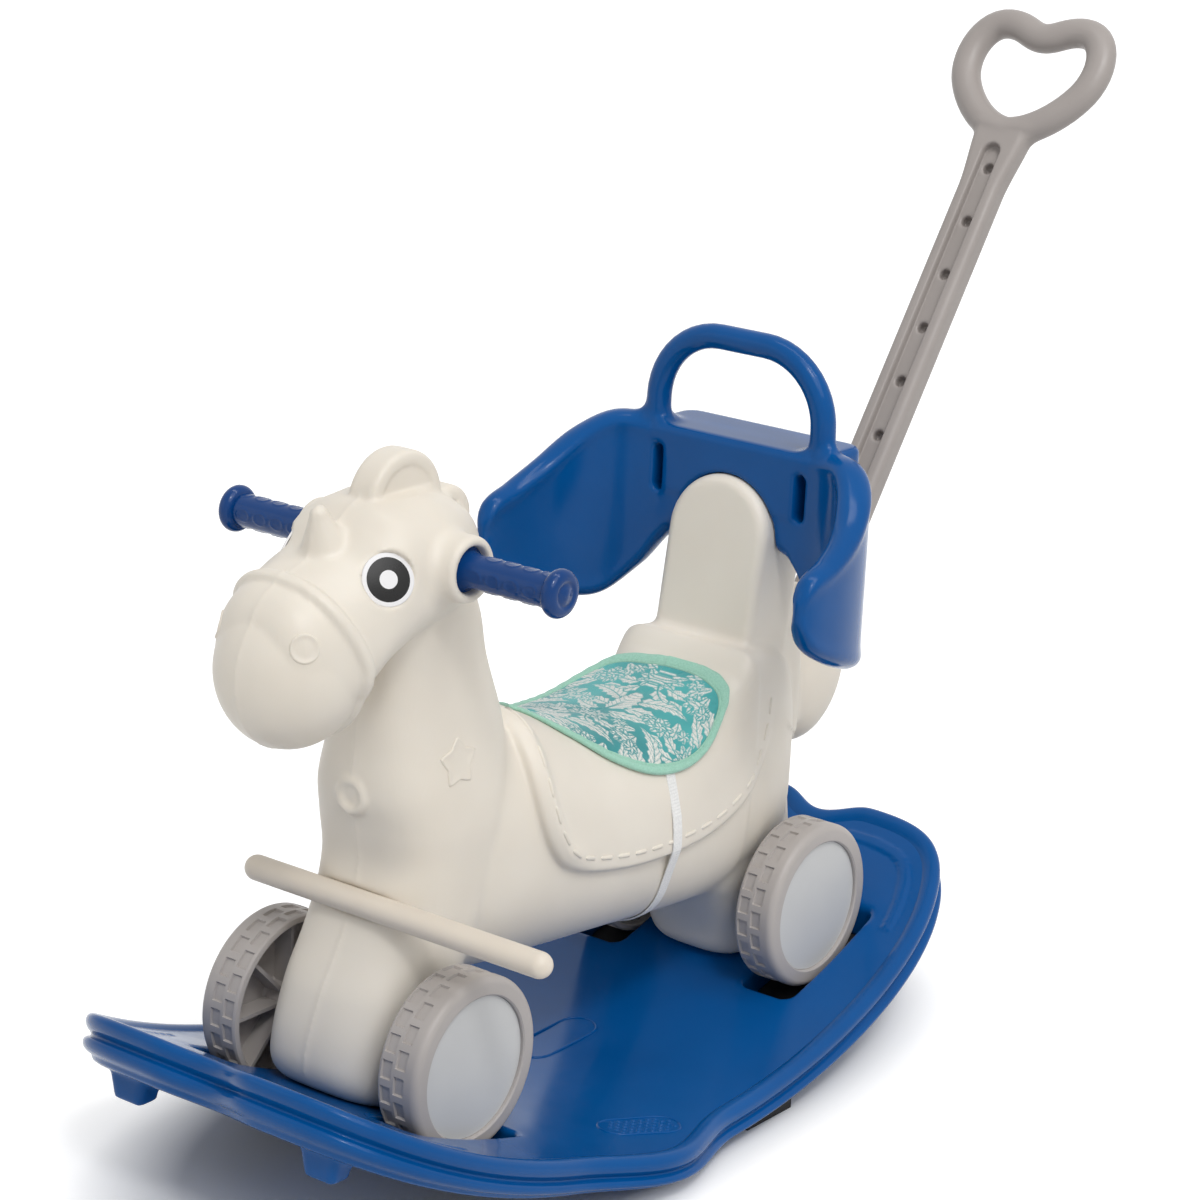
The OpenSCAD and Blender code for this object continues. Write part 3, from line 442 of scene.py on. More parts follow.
class Look:
    """The nodes of a material or of the world; most methods add a node and give its output."""

    def __init__(self, owner):
        owner.use_nodes = True
        self.owner = owner
        self.nodes = owner.node_tree.nodes
        self.links = owner.node_tree.links

    def feed(self, node, inputs):
        """Gives inputs a value or another node's output."""
        for name, value in inputs.items():
            if isinstance(value, bpy.types.NodeSocket):
                self.links.new(value, node.inputs[name])
            else:
                node.inputs[name].default_value = value

    def add(self, kind, output, inputs, **settings):
        node = self.nodes.new("ShaderNode" + kind)
        for name, value in settings.items():
            setattr(node, name, value)
        self.feed(node, inputs)
        return node.outputs[output]

    def place(self):
        return self.add("TexCoord", "Object", {})

    def noise(self, scale, detail=3.0):
        return self.add("TexNoise", "Fac", {"Vector": self.place(), "Scale": scale, "Detail": detail})

    def wave(self, scale, distortion):
        return self.add("TexWave", "Fac", {"Vector": self.place(), "Scale": scale, "Distortion": distortion})

    def ramp(self, source, low, high, start=0.3, end=0.7):
        span = {"From Min": start, "From Max": end, "To Min": low, "To Max": high}
        return self.add("MapRange", "Result", {"Value": source, **span})

    def mix(self, share, first, second):
        return self.add("Mix", "Result", {"Factor": share, "A": first, "B": second}, data_type="RGBA")

    def cloud(self, scale, detail, dark, light):
        """A colour that drifts between two."""
        return self.mix(self.ramp(self.noise(scale, detail), 0.0, 1.0), dark, light)

    def bump(self, height, strength, distance, **under):
        inputs = {"Height": height, "Strength": strength, "Distance": distance}
        return self.add("Bump", "Normal", {**inputs, **under})

    def dress(self, inputs):
        """The finished material."""
        self.feed(self.nodes["Principled BSDF"], inputs)
        return self.owner


def new_look(name):
    return Look(bpy.data.materials.new(name))


# Scale and detail of noise
PLASTIC_CLOUD = (9.0, 3.0)
PLASTIC_SMEAR = (26.0, 5.0)
STEEL_SMEAR = (180.0, 4.0)
TAPE_FUZZ = (700.0, 4.0)
# Depth in metres of a mould's grain and of threads
GRAIN_DEPTH = 0.0006
THREAD_DEPTH = 0.0004
UNDER_RADIUS = (0.012, 0.009, 0.006)
STEEL_SHADE = 0.8


def plastic(name, colour, shade, rough, grain=900.0, relief=0.06, under=0.0, gloss=0.4):
    """Moulded plastic: slight cloudiness of colour, uneven gloss and a fine mould grain."""
    look = new_look(name)
    return look.dress({
        "Base Color": look.cloud(*PLASTIC_CLOUD, linear(*shade), linear(*colour)),
        "Roughness": look.ramp(look.noise(*PLASTIC_SMEAR), rough - 0.05, rough + 0.06),
        "Normal": look.bump(look.noise(grain, 2.0), relief, GRAIN_DEPTH),
        "Subsurface Weight": under,
        "Subsurface Radius": UNDER_RADIUS,
        "Specular IOR Level": gloss,
    })


def steel(name, colour, rough):
    look = new_look(name)
    dark = [STEEL_SHADE * v for v in linear(*colour)[:3]] + [1]
    return look.dress({
        "Base Color": look.cloud(*STEEL_SMEAR, dark, linear(*colour)),
        "Roughness": look.ramp(look.noise(*STEEL_SMEAR), rough - 0.08, rough + 0.08),
        "Metallic": 1.0,
    })


def tape(name, colour, shade, pitch):
    """Woven tape: fine ribs with a fuzz over them, and the sheen of cloth."""
    look = new_look(name)
    ribs = look.bump(look.wave(1 / (pitch * MM) / 3.2, 0.6), 0.5, THREAD_DEPTH)
    return look.dress({
        "Base Color": look.cloud(*TAPE_FUZZ, linear(*shade), linear(*colour)),
        "Normal": look.bump(look.noise(*TAPE_FUZZ), 0.25, THREAD_DEPTH, Normal=ribs),
        "Roughness": 0.75,
        "Sheen Weight": 0.25,
    })


CREAM = plastic("cream_plastic", (226, 219, 207), (219, 211, 198), 0.42, under=0.08)
BLUE = plastic("blue_plastic", (1, 80, 146), (1, 74, 137), 0.16, grain=700.0, relief=0.03, gloss=0.17)
GRIP_BLUE = plastic("grip_plastic", (2, 60, 122), (2, 54, 112), 0.14, gloss=0.26)
TAUPE = plastic("taupe_plastic", (160, 153, 149), (153, 146, 142), 0.36, gloss=0.3)
GREY = plastic("wheel_plastic", (178, 172, 168), (169, 163, 159), 0.45, grain=1100.0, relief=0.1)
CAP_GREY = plastic("cap_plastic", (202, 202, 200), (195, 195, 194), 0.35)
ROD_CREAM = plastic("rod_plastic", (224, 214, 200), (214, 204, 190), 0.40, under=0.06)
RUBBER = plastic("black_rubber", (26, 26, 27), (20, 20, 21), 0.7, grain=1500.0, relief=0.3)
STEEL = steel("bright_steel", (190, 190, 192), 0.3)
EYE_BLACK = plastic("eye_black_film", (16, 15, 15), (10, 10, 10), 0.25)
EYE_WHITE = plastic("eye_white_film", (232, 231, 232), (224, 223, 224), 0.35)
BINDING = tape("binding_tape", (160, 208, 188), (146, 196, 174), 0.8)
ELASTIC = tape("elastic_tape", (238, 237, 234), (222, 221, 219), 0.7)

for cad_material, node_names in (
    (ROD_CREAM, ["foot_rod"]),
    (STEEL, ["handlebar", "front_axle", "rear_axle", "axle_nuts", "backrest_screws"]),
    (RUBBER, ["axle_bushes", "grip_pads"]),
    (CAP_GREY, [f"{end}_{side_name}_cap" for end in ("front", "rear") for side_name, _ in SIDES]),
):
    for node_name in node_names:
        cad_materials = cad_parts[node_name].data.materials
        cad_materials.clear()
        cad_materials.append(cad_material)


# Horse: heights are measured from the axles
SKIN_PITCH = 2.0
# Forehand and neck: height, front and back from the front axle, half width
FORE_TABLE = [
    (-85, -72, 43, 55), (-5, -70, 50, 57), (41, -55, 62, 58), (75, -36, 82, 58), (105, -22, 102, 59),
    (135, -15, 108, 60), (165, -19, 112, 61), (195, -25, 114, 58), (232, -22, 112, 51),
    (285, -20, 94, 45), (320, -26, 84, 46), (350, -34, 70, 46),
]
# Barrel: share of the wheelbase behind the front axle, half width, low and top height, squareness of its top
BARREL_TABLE = [
    (0.05, 50, 45, 200, 2.4), (0.186, 62, 28, 218, 2.4), (0.327, 66, 22, 214, 2.4), (0.41, 67, 19, 199, 2.4),
    (0.5, 68, 17, 184, 2.5), (0.612, 68, 13, 176, 2.6), (0.704, 68, 10, 177, 2.8), (0.791, 67, 8, 189, 3.4),
    (0.845, 67, 6, 203, 6), (0.868, 67, 5, 213.5, 8.5), (0.88, 67, 5, 218.6, 10), (0.891, 66, 5, 219.6, 10),
    (0.948, 65, 5, 219, 9),
    (1.038, 57, 12, 212, 4), (1.075, 47, 24, 202, 2.6), (1.11, 34, 42, 190, 2.5), (1.145, 17, 76, 166, 2.5),
]
BELLY_POWER = 3
# Hind legs: height, front and back from the rear axle, half width
HIND_TABLE = [
    (-85, -32, 72, 55), (-40, -40, 71, 57), (0, -64, 65, 57), (30, -95, 58, 57), (60, -110, 54, 57),
    (110, -110, 46, 55), (150, -104, 36, 48), (190, -90, 18, 32),
]
# Head: distance along Y from the front axle, half width, low and top height
HEAD_TABLE = [
    (-136, 34, 270, 351), (-122, 45, 264, 366), (-100, 53, 262, 376), (-77, 57, 270, 384),
    (-60, 59, 282, 391), (-45, 61, 294, 406), (-30, 62, 302, 416), (-10, 62, 310, 419),
    (14, 61, 316, 420), (43, 52, 318, 413), (68, 38, 324, 402), (88, 17, 338, 384),
]
# Buttress behind the post: height, front and back from the rear axle, half width
BUTTRESS_TABLE = [(150, 0, 62, 44), (200, 0, 56, 47), (245, 0, 38, 47), (285, 0, 22, 45), (310, 0, 10, 43)]
# Socket for the push handle: distance up its axis, half width, front and back
SOCKET_TABLE = [
    (-282, 8, 2, 20), (-276, 22, -14, 37), (-262, 33, -27, 50), (-240, 39, -34, 57), (-215, 40, -34, 57),
    (-185, 36, -27, 49), (-150, 30, -16, 33),
]
SOCKET_POWER = 2.6
SOCKET_SOFT = 5
LEG_POWER = 3
HEAD_POWER = 2.4
MUZZLE = (0, FORE_Y - 95, 307)
MUZZLE_RADII = (53, 55, 59)
# Axes along X: place along Y and height
BAR_AXIS = (FORE_Y + 14, 372)
ROD_AXIS = (FORE_Y - 23, 110)
# Bosses on them: radius, half length and rounding of the edge
BAR_BOSS = (25, 77, 5)
AXLE_BOSS = (13, 62, 2)
ROD_BORE_R = 10.5
BAR_BORE_R = 17.5
BAR_BORE_START = 66.5
POST_Y = AFT_Y - 44
POST_Z = 214
POST_LEAN = 9
POST_HALF = 49
POST_RISE = 143
POST_DEPTH = 62
POST_EDGE = 9
POST_FOOT = -90
PUSH_Y = AFT_Y + 207
PUSH_Z = 351
PUSH_LEAN = 34.6
PUSH_FRONT = -5
PUSH_DEPTH = 22
PUSH_HALF = 20.5
PUSH_GAP = 0.5
# Along the push handle's axis: the socket's mouth and the handle's foot
MOUTH = -150
PUSH_FOOT = MOUTH - 100
PUSH_HOLE_FLOOR = PUSH_FOOT - 1
PUSH_HOLE_EDGE = 3
# Crest and the lobe behind it: place along Y, height, radius and half thickness
CREST = (FORE_Y + 14, 408, 40, 13)
LOBE = (FORE_Y + 64, 388, 25, 12)
CREST_EDGE = 5
CREST_RIM = 11
CREST_DISH = 1.5
HORN = np.array([(0, FORE_Y - 50, 352), (0, FORE_Y - 67, 413)])
HORN_RADII = (34, 7)
EYE_AT = Vector((49, FORE_Y - 48, 372))
EYE_TURN = 30
EYE_LIFT = 23
EYE_R = 19.5
EYE_GAP = 0.4
CHEST_RING_AT = (FORE_Y - 24.5, 192)
CHEST_RING_RADII = (11.5, 3.4)
DECK_H = 31
DECK_R = 720
FOOT_GAP = 0.3
# Saddle flap seen from the side: along Y from mid wheelbase, and height
FLAP_EDGE = [
    (-95, 245), (-108, 205), (-109, 169), (-98, 133), (-77, 108), (-37, 93), (33, 83), (100, 84),
    (139, 92), (175, 112), (195, 138), (206, 172), (204, 250),
]
FLAP_T = 5
FLAP_SOFT = 4
FLAP_FADE = (204, 150)
BORDER_RISE = 1.5
BORDER_FADE = (-40, -10)
ROLL_RISE = 5.0
ROLL_IN = 11
ROLL_HALF = 8
ROLL_FADE = (-40, -85)
# Raised band round the muzzle, from under the chin to the bridge of the nose: height and place along Y
NOSEBAND = [
    (250, -289), (266, -288), (288, -291), (316, -299), (333, -308), (347, -316), (361, -323), (375, -329),
]
BAND_HALF = 5.5
BAND_RISE = 4.4
SEAM_W = 1.8
SEAM_OUT = 0.9

flap_outline = rounded_line(FLAP_EDGE, 90)
eye_level, eye_rise = turn_of(EYE_LIFT)
eye_out, eye_fore = turn_of(EYE_TURN)
eye_axis = Vector((eye_level * eye_out, -eye_level * eye_fore, eye_rise))
to_post = leaning(POST_Y, POST_Z, POST_LEAN)
to_push = leaning(PUSH_Y, PUSH_Z, PUSH_LEAN)
push_middle = PUSH_FRONT + PUSH_DEPTH / 2
barrel = upright_loft(BARREL_TABLE, FORE_Y, WHEELBASE, BELLY_POWER)


def flap(x, y, z, pitch):
    """A saddle flap: the barrel's own curve moved out, thicker in a roll along its front edge."""
    edge = polygon_distance(flap_outline, y[0], z[0])[None]
    roll = ROLL_RISE * np.exp(-((edge + ROLL_IN) / ROLL_HALF)**2) * smooth_step(*ROLL_FADE, y)
    border = BORDER_RISE * smooth_step(*BORDER_FADE, edge)
    thick = (FLAP_T + border) * smooth_step(*FLAP_FADE, y) + roll
    return smooth_max(barrel(x, y, z, pitch) - thick, edge, FLAP_SOFT)


def post(grow):
    """The upright that carries the backrest, round at its top."""
    def shape(x, y, z, pitch):
        depth, height = to_post(y, z)
        centre = POST_RISE - POST_HALF
        arch = np.where(height < centre, np.abs(x) - POST_HALF, np.hypot(x, height - centre) - POST_HALF)
        slab = np.abs(depth - POST_DEPTH / 2) - POST_DEPTH / 2
        return np.maximum(rounded(POST_EDGE, arch, slab) - grow, POST_FOOT - height)
    return shape


def socket(x, y, z, pitch):
    depth, height = to_push(y, z)
    row = row_at(SOCKET_TABLE, height[0]).astype(np.float32)[None]
    middle, half_depth = (row[..., 2] + row[..., 3]) / 2, (row[..., 3] - row[..., 2]) / 2
    ends = np.maximum(SOCKET_TABLE[0][0] - height, height - MOUTH)
    wall = superellipse(x / row[..., 1], (depth - middle) / half_depth, SOCKET_POWER, pitch)
    return smooth_max(wall, ends, SOCKET_SOFT)


def push_hole(x, y, z, pitch):
    depth, height = to_push(y, z)
    across = np.abs(x) - PUSH_HALF - PUSH_GAP
    along = np.abs(depth - push_middle) - PUSH_DEPTH / 2 - PUSH_GAP
    return np.maximum(rounded(PUSH_HOLE_EDGE, across, along), PUSH_HOLE_FLOOR - height)


def eye_seat(x, y, z, pitch):
    gap = [p - q for p, q in zip((x, y, z), EYE_AT)]
    along = sum(p * q for p, q in zip(gap, eye_axis))
    off = np.sqrt(np.maximum(sum(p * p for p in gap) - along * along, 0))
    return np.maximum(off - EYE_R - EYE_GAP, -along)


def noseband(x, y, z, pitch):
    """How far the band stands out."""
    return BAND_RISE * np.exp(-((y - np.interp(z, *np.transpose(NOSEBAND))) / BAND_HALF)**6)


def mould_seam(x, y, z, pitch):
    """The thin line down the middle where the two halves of the mould met."""
    return SEAM_OUT * np.exp(-(x / SEAM_W)**2)


def chest_ring(x, y, z, pitch):
    ring, wire = CHEST_RING_RADII
    return np.hypot(np.hypot(x, z - CHEST_RING_AT[1]) - ring, y - CHEST_RING_AT[0]) - wire


def under_deck(x, y, z, pitch):
    """Everything below the deck's curve, which the feet stand on."""
    return DECK_R - FOOT_GAP - np.hypot(y, z - (DECK_H + DECK_R - AXLE_Z))


def sculpt_horse():
    clay = Clay((0, -385, -100), (92, 350, 460), SKIN_PITCH)
    clay.add(level_loft(FORE_TABLE, FORE_Y, LEG_POWER), ((0, -330, -100), (80, -90, 372)))
    clay.add(level_loft(HIND_TABLE, AFT_Y, LEG_POWER), ((0, 80, -100), (80, 320, 200)))
    clay.add(barrel, ((0, -240, -20), (92, 320, 250)), 26)
    clay.add(flap, ((0, -140, 60), (92, 240, 262)), 3)
    head = upright_loft(HEAD_TABLE, FORE_Y, 1.0, HEAD_POWER, HEAD_POWER)
    clay.add(head, ((0, -380, 235), (92, -110, 445)), 3)
    clay.add(ellipsoid(MUZZLE, MUZZLE_RADII), ((0, -385, 225), (80, -240, 390)), 10)
    clay.swell(noseband, ((0, -345, 245), (80, -270, 385)))
    for y0, z0, radius, half in (CREST, LOBE):
        clay.add(cross_disc(y0, z0, radius, half, CREST_EDGE), block_across(y0, z0, 60, 30), 4)
        dish = bore_from(y0, z0, radius - CREST_RIM, half - CREST_DISH)
        clay.cut(dish, ((0, y0 - 50, z0 + 14), (30, y0 + 50, z0 + 60)), 1.0)
    clay.add(tube(HORN, HORN_RADII), block_round(HORN, 48), 8)
    clay.add(cross_disc(*BAR_AXIS, *BAR_BOSS), block_across(*BAR_AXIS, 60, 92), 14)
    clay.add(post(0), ((0, 120, 90), (70, 320, 380)), 9)
    clay.add(level_loft(BUTTRESS_TABLE, AFT_Y, LEG_POWER), ((0, 180, 130), (70, 320, 330)), 14)
    clay.add(socket, ((0, 180, 60), (60, 350, 280)), 12)
    for y0 in (FORE_Y, AFT_Y):
        clay.add(cross_disc(y0, 0, *AXLE_BOSS), block_across(y0, 0, 30, 75), 6)
    clay.swell(mould_seam, ((0, -385, -90), (8, -190, 420)))
    clay.add(chest_ring, ((0, -280, 160), (30, -215, 225)), 3)
    clay.cut(under_deck, None, 22)
    clay.cut(bore_from(*ROD_AXIS, ROD_BORE_R, -1), block_across(*ROD_AXIS, 20, 92), 2)
    clay.cut(bore_from(*BAR_AXIS, BAR_BORE_R, BAR_BORE_START), block_across(*BAR_AXIS, 40, 92, 40), 4)
    clay.cut(eye_seat, ((10, -330, 330), (92, -230, 420)), 1.5)
    clay.cut(push_hole, ((0, 200, 60), (40, 350, 300)), 3)
    return clay.skin(AXLE_Z)


horse_mesh = sculpt_horse()
new_piece("horse_skin", horse_mesh, "horse", "horse_cream", CREAM, "horse_body", relax=2)


# Backrest: in plan its middle line is straight, then each wing curves forward and out
BACK_Y = AFT_Y - 2
BACK_T = 28
BACK_TOP = 384
BACK_EDGE = 12.5
BACK_DISH = 1.2
# A soft bead along the wings' edges
BACK_BEAD_RISE = 1.6
BACK_BEAD_IN = 6
BACK_BEAD_HALF = 8
BACK_BEAD_FADE = (0.3, 0.5)
FLAT_SHARE = 0.33
WING_LINE = [(66, 0), (132, 0), (163, -46), (158, -137)]
WING_POINTS = 60
# Share of the half span, lower edge, upper edge below BACK_TOP, thickness below BACK_T
BACK_TABLE = [
    (0, 298, 1, 0), (0.3, 293, 0, 0), (0.42, 257, -4, 0), (0.55, 230, -3, 0), (0.68, 226, 13, 0),
    (0.8, 235, 36, 3), (0.9, 248, 52, 6), (0.97, 264, 62, 10), (1, 284, 78, 18),
]
LOOP_HALF = 82.5
LOOP_TOP = BACK_TOP + 79.5
LOOP_FOOT = BACK_TOP - 26
LOOP_BEND = 60
LOOP_R = 10.5
# The shelf's middle and half sizes, from BACK_Y, and rounding of its corners and edges
SHELF_MIDDLE = (0, 20.5, (325 + BACK_TOP) / 2)
SHELF_HALF = (90, 34.5, (BACK_TOP - 325) / 2)
SHELF_CORNER = 16
SHELF_EDGE = 6
BELT_SLOT_AT = (71.5, 347)
BELT_SLOT_HALF = (4.5, 20)
BACK_POST_GAP = 0.6


def back_panel(x, y, z, pitch):
    """The bent panel, measured from the nearest place on its middle line in plan."""
    bend = np.linspace(0, 1, WING_POINTS)
    line = np.vstack([[(0, 0)], bezier(WING_LINE, bend)])
    shares = np.concatenate([[0], FLAT_SHARE + (1 - FLAT_SHARE) * bend])
    px, py = np.broadcast_arrays(x[:, :, 0], y[:, :, 0] - BACK_Y)
    best = np.full(px.shape, FAR)
    share, side, beyond = np.zeros((3, *px.shape))
    for k, (start, run) in enumerate(zip(line, np.diff(line, axis=0))):
        size = np.hypot(*run)
        dx, dy = px - start[0], py - start[1]
        along = (dx * run[0] + dy * run[1]) / size**2
        t = np.clip(along, 0, 1)
        gap = np.hypot(dx - t * run[0], dy - t * run[1])
        near = gap < best
        best = np.where(near, gap, best)
        share = np.where(near, shares[k] + t * (shares[k + 1] - shares[k]), share)
        side = np.where(near, (dy * run[0] - dx * run[1]) / size, side)
        beyond = np.where(near, (along - 1) * size if k == len(line) - 2 else -FAR, beyond)
    row = row_at(BACK_TABLE, share)[:, :, None]
    low, top = row[..., 1], BACK_TOP - row[..., 2]
    inner = (top - low) / 2 - np.abs(z - (low + top) / 2)
    bead = BACK_BEAD_RISE * np.exp(-((inner - BACK_BEAD_IN) / BACK_BEAD_HALF)**2)
    bead = bead * smooth_step(*BACK_BEAD_FADE, share)[:, :, None]
    thick = (BACK_T - row[..., 3]) / 2 + bead - BACK_DISH
    edge = np.minimum(thick, BACK_EDGE)
    return rounded(edge, np.abs(side)[:, :, None] - thick, -inner, beyond[:, :, None])


def shelf(x, y, z, pitch):
    places = (x, y - BACK_Y, z)
    across, along, upward = (np.abs(p - m) - h for p, m, h in zip(places, SHELF_MIDDLE, SHELF_HALF))
    return rounded(SHELF_EDGE, rounded(SHELF_CORNER, across, along), upward)


def belt_slot(x, y, z, pitch):
    half_w, half_h = BELT_SLOT_HALF
    straight = np.maximum(np.abs(z - BELT_SLOT_AT[1]) - half_h + half_w, 0)
    return np.hypot(x - BELT_SLOT_AT[0], straight) - half_w


def sculpt_backrest():
    clay = Clay((0, 55, 205), (185, 300, 490), SKIN_PITCH)
    clay.add(back_panel)
    clay.add(shelf, ((0, 180, 300), (120, 300, 410)), 8)
    corner = arc((LOOP_HALF - LOOP_BEND, LOOP_TOP - LOOP_BEND), (LOOP_BEND, LOOP_BEND), 0, 90, 12)
    flat = [(LOOP_HALF, LOOP_FOOT), *corner, (0, LOOP_TOP)]
    loop = np.array([(x, BACK_Y, z) for x, z in flat])
    clay.add(tube(loop, LOOP_R), block_round(loop, 30), 16)
    clay.cut(post(BACK_POST_GAP), ((0, 150, 205), (80, 300, 400)), 3)
    clay.cut(belt_slot, ((50, 190, 310), (95, 260, 385)), 3)
    return clay.skin(AXLE_Z)


new_piece("backrest_skin", sculpt_backrest(), "horse", "board_blue", BLUE, "backrest", relax=2)


# Push handle, sculpted upright in its own frame and then leant back
PUSH_PITCH = 1.4
HEART_HALF = 62
HEART_R = 13.5
HEART_FLAT = 0.9
BAR_TOP = 300
BAR_FLARE = 6
BAR_FLARE_SPAN = (BAR_TOP - 60, BAR_TOP + 5)
BAR_CORNER = 7
BAR_END_EDGE = 3
BAR_LAP = 4
GROOVE_HALF = 8.5
GROOVE_FLOOR = 2.5
GROOVE_TOP = 286
DIMPLE_PITCH = 52.8
DIMPLES = 6
DIMPLE_R = 5
DIMPLE_FLOOR = 11
# Curves round half the heart: across, and above BAR_TOP
HEART_LINE = [
    [(0, 98), (13, 98), (20, 108), (HEART_HALF - 24, 108)],
    [(HEART_HALF - 24, 108), (HEART_HALF + 1, 108), (HEART_HALF + 10, 74), (HEART_HALF - 1, 50)],
    [(HEART_HALF - 1, 50), (HEART_HALF - 11, 29), (26, 5), (0, 3)],
]


def push_bar(x, y, z, pitch):
    half = PUSH_HALF + BAR_FLARE * smooth_step(*BAR_FLARE_SPAN, z)
    sides = rounded(BAR_CORNER, np.abs(x) - half, np.abs(y - push_middle) - PUSH_DEPTH / 2)
    return rounded(BAR_END_EDGE, sides, np.maximum(PUSH_FOOT - z, z - BAR_TOP - BAR_LAP))


def heart(x, y, z, pitch):
    steps = np.linspace(0, 1, 12, endpoint=False)
    line = np.vstack([*(bezier(part, steps) for part in HEART_LINE), HEART_LINE[-1][-1]])
    points = np.column_stack([line[:, 0], np.zeros(len(line)), line[:, 1] + BAR_TOP])
    return tube(points, HEART_R)(x, (y - push_middle) / HEART_FLAT, z, pitch)


def push_groove(x, y, z, pitch):
    run = np.hypot(x, np.maximum(z - GROOVE_TOP + GROOVE_HALF, 0)) - GROOVE_HALF
    return np.maximum(np.maximum(run, y - GROOVE_FLOOR), MOUTH - z)


def dimples(x, y, z, pitch):
    nearest = np.clip(np.round(z / DIMPLE_PITCH), 0, DIMPLES - 1) * DIMPLE_PITCH
    return np.maximum(np.hypot(x, z - nearest) - DIMPLE_R, y - DIMPLE_FLOOR)


def sculpt_push_handle():
    clay = Clay((0, -16, PUSH_FOOT - 6), (86, 30, BAR_TOP + 130), PUSH_PITCH)
    clay.add(push_bar)
    clay.add(heart, ((0, -16, BAR_TOP - 40), (86, 30, BAR_TOP + 130)), 16)
    clay.cut(push_groove, None, 2.5)
    clay.cut(dimples, None, 1.5)
    points, quads = clay.skin()
    c, s = turn_of(PUSH_LEAN)
    x, y, z = points.T
    return np.column_stack([x, PUSH_Y + c * y + s * z, AXLE_Z + PUSH_Z - s * y + c * z]), quads


push_mesh = sculpt_push_handle()
new_piece("push_handle_skin", push_mesh, "push_handle", "handle_taupe", TAUPE, "push_handle", relax=2)


# Rocker board
BOARD_LEN = 800
BOARD_W = 368
BOARD_Y = -6
SIDE_POWER = 5
NOSE_POWER = 3.2
TAIL_POWER = 4.6
BOARD_TAPER = 20
SIDE_SHARE = 0.86
SIDE_POINTS = 160
END_POINTS = 60
LOBE_OUT = 21
LOBE_Y = -87
LOBE_LEN = 200
END_DIP = 14
DIP_HALF = 48
UNDER_H = 7
UNDER_R = 800
CORE_IN = 10
CORE_EDGE = 3
# The rim's section, down from the deck: distance out from the board's edge, and depth below the deck
RIM_UPPER = [
    (-18.5, 2.5), (-16.0, 0.4), (-14.4, -0.9), (-12.0, -2.1), (-9.0, -2.7), (-6.0, -2.4), (-3.2, -1.1),
    (-1.2, 1.0), (-0.2, 3.4), (0.0, 5.6), (-0.5, 8.0), (-1.6, 9.8), (-3.0, 11.0), (-3.8, 12.2),
]
# The rest of it: distance out, and share of the way from GROOVE_DEPTH to the underside
RIM_LOWER = [
    (-3.9, 0.03), (-3.2, 0.08), (-1.2, 0.13), (0.9, 0.22), (2.0, 0.33), (2.2, 0.46), (1.4, 0.58),
    (-0.8, 0.68), (-3.4, 0.73), (-4.4, 0.78), (-4.6, 0.86), (-5.6, 0.94), (-8.0, 0.995), (-18.5, 0.9),
]
GROOVE_DEPTH = 12.6
RIM_POINTS = 720
RIM_ROUNDS = 6
STRIP_IN = 31
STRIP_HALF = 4.5
STRIP_RISE = 1.3
STRIP_ROOT = 4
STRIP_EDGE = 1
STRIP_END = 283
STOP_X = 95
STOP_Y = BOARD_LEN / 2 - 34
STOP_HALF = (15, 11)
STOP_START = 11
STOP_DROP = 17
STOP_FLARE = 0.22
STOP_FOOT = 4
STOP_CORNER = 6
STOP_EDGE = 4
WELL_HALF = (WHEEL_W / 2 + 6, (WHEEL_R + 54) / 2)
WELL_X = WHEEL_X + WHEEL_W / 2
WELL_Y = WHEELBASE / 2 + (WHEEL_R - 40) / 2
WELL_CORNER = 9
deck_axis = DECK_H + DECK_R
under_axis = UNDER_H + UNDER_R


def deck_z(y, below=0):
    """Height of the deck's curve, or of one that lies below it."""
    return deck_axis - np.sqrt((DECK_R + below)**2 - np.square(y))


def under_z(y):
    return under_axis - np.sqrt(UNDER_R**2 - np.square(y))


def hump(u):
    """A smooth rise from 0 at -1 to 1 at 0, and down to 0 at 1."""
    return np.where(np.abs(u) >= 1, 0, np.cos(np.pi / 2 * np.clip(u, -1, 1))**2)


def side_reach(y):
    power = np.where(y < 0, NOSE_POWER, TAIL_POWER)
    return BOARD_W / 2 * (1 - np.abs(2 * y / BOARD_LEN)**power)**(1 / SIDE_POWER)


def side_x(y):
    return side_reach(y) + LOBE_OUT * hump(2 * (y - LOBE_Y) / LOBE_LEN) - BOARD_TAPER * y / BOARD_LEN


def end_y(x, power):
    reach = BOARD_LEN / 2 * (1 - np.abs(2 * x / BOARD_W)**SIDE_POWER)**(1 / power)
    return reach - END_DIP * hump(x / DIP_HALF)


def board_outline():
    """The board's edge in plan, once round, about its own middle."""
    span = SIDE_SHARE * BOARD_LEN / 2
    y = np.linspace(-span, span, SIDE_POINTS)
    left = np.column_stack([side_x(y), y])
    ends = []
    for power, sign in ((TAIL_POWER, 1), (NOSE_POWER, -1)):
        reach = side_reach(np.array(sign * span))
        x = np.linspace(reach, -reach, END_POINTS + 2)[1:-1]
        ends.append(np.column_stack([x * side_x(np.array(sign * span)) / reach, sign * end_y(x, power)]))
    tail, nose = ends
    return np.vstack([left, tail, left[::-1] * (-1, 1), nose[::-1]])


board_edge = board_outline()


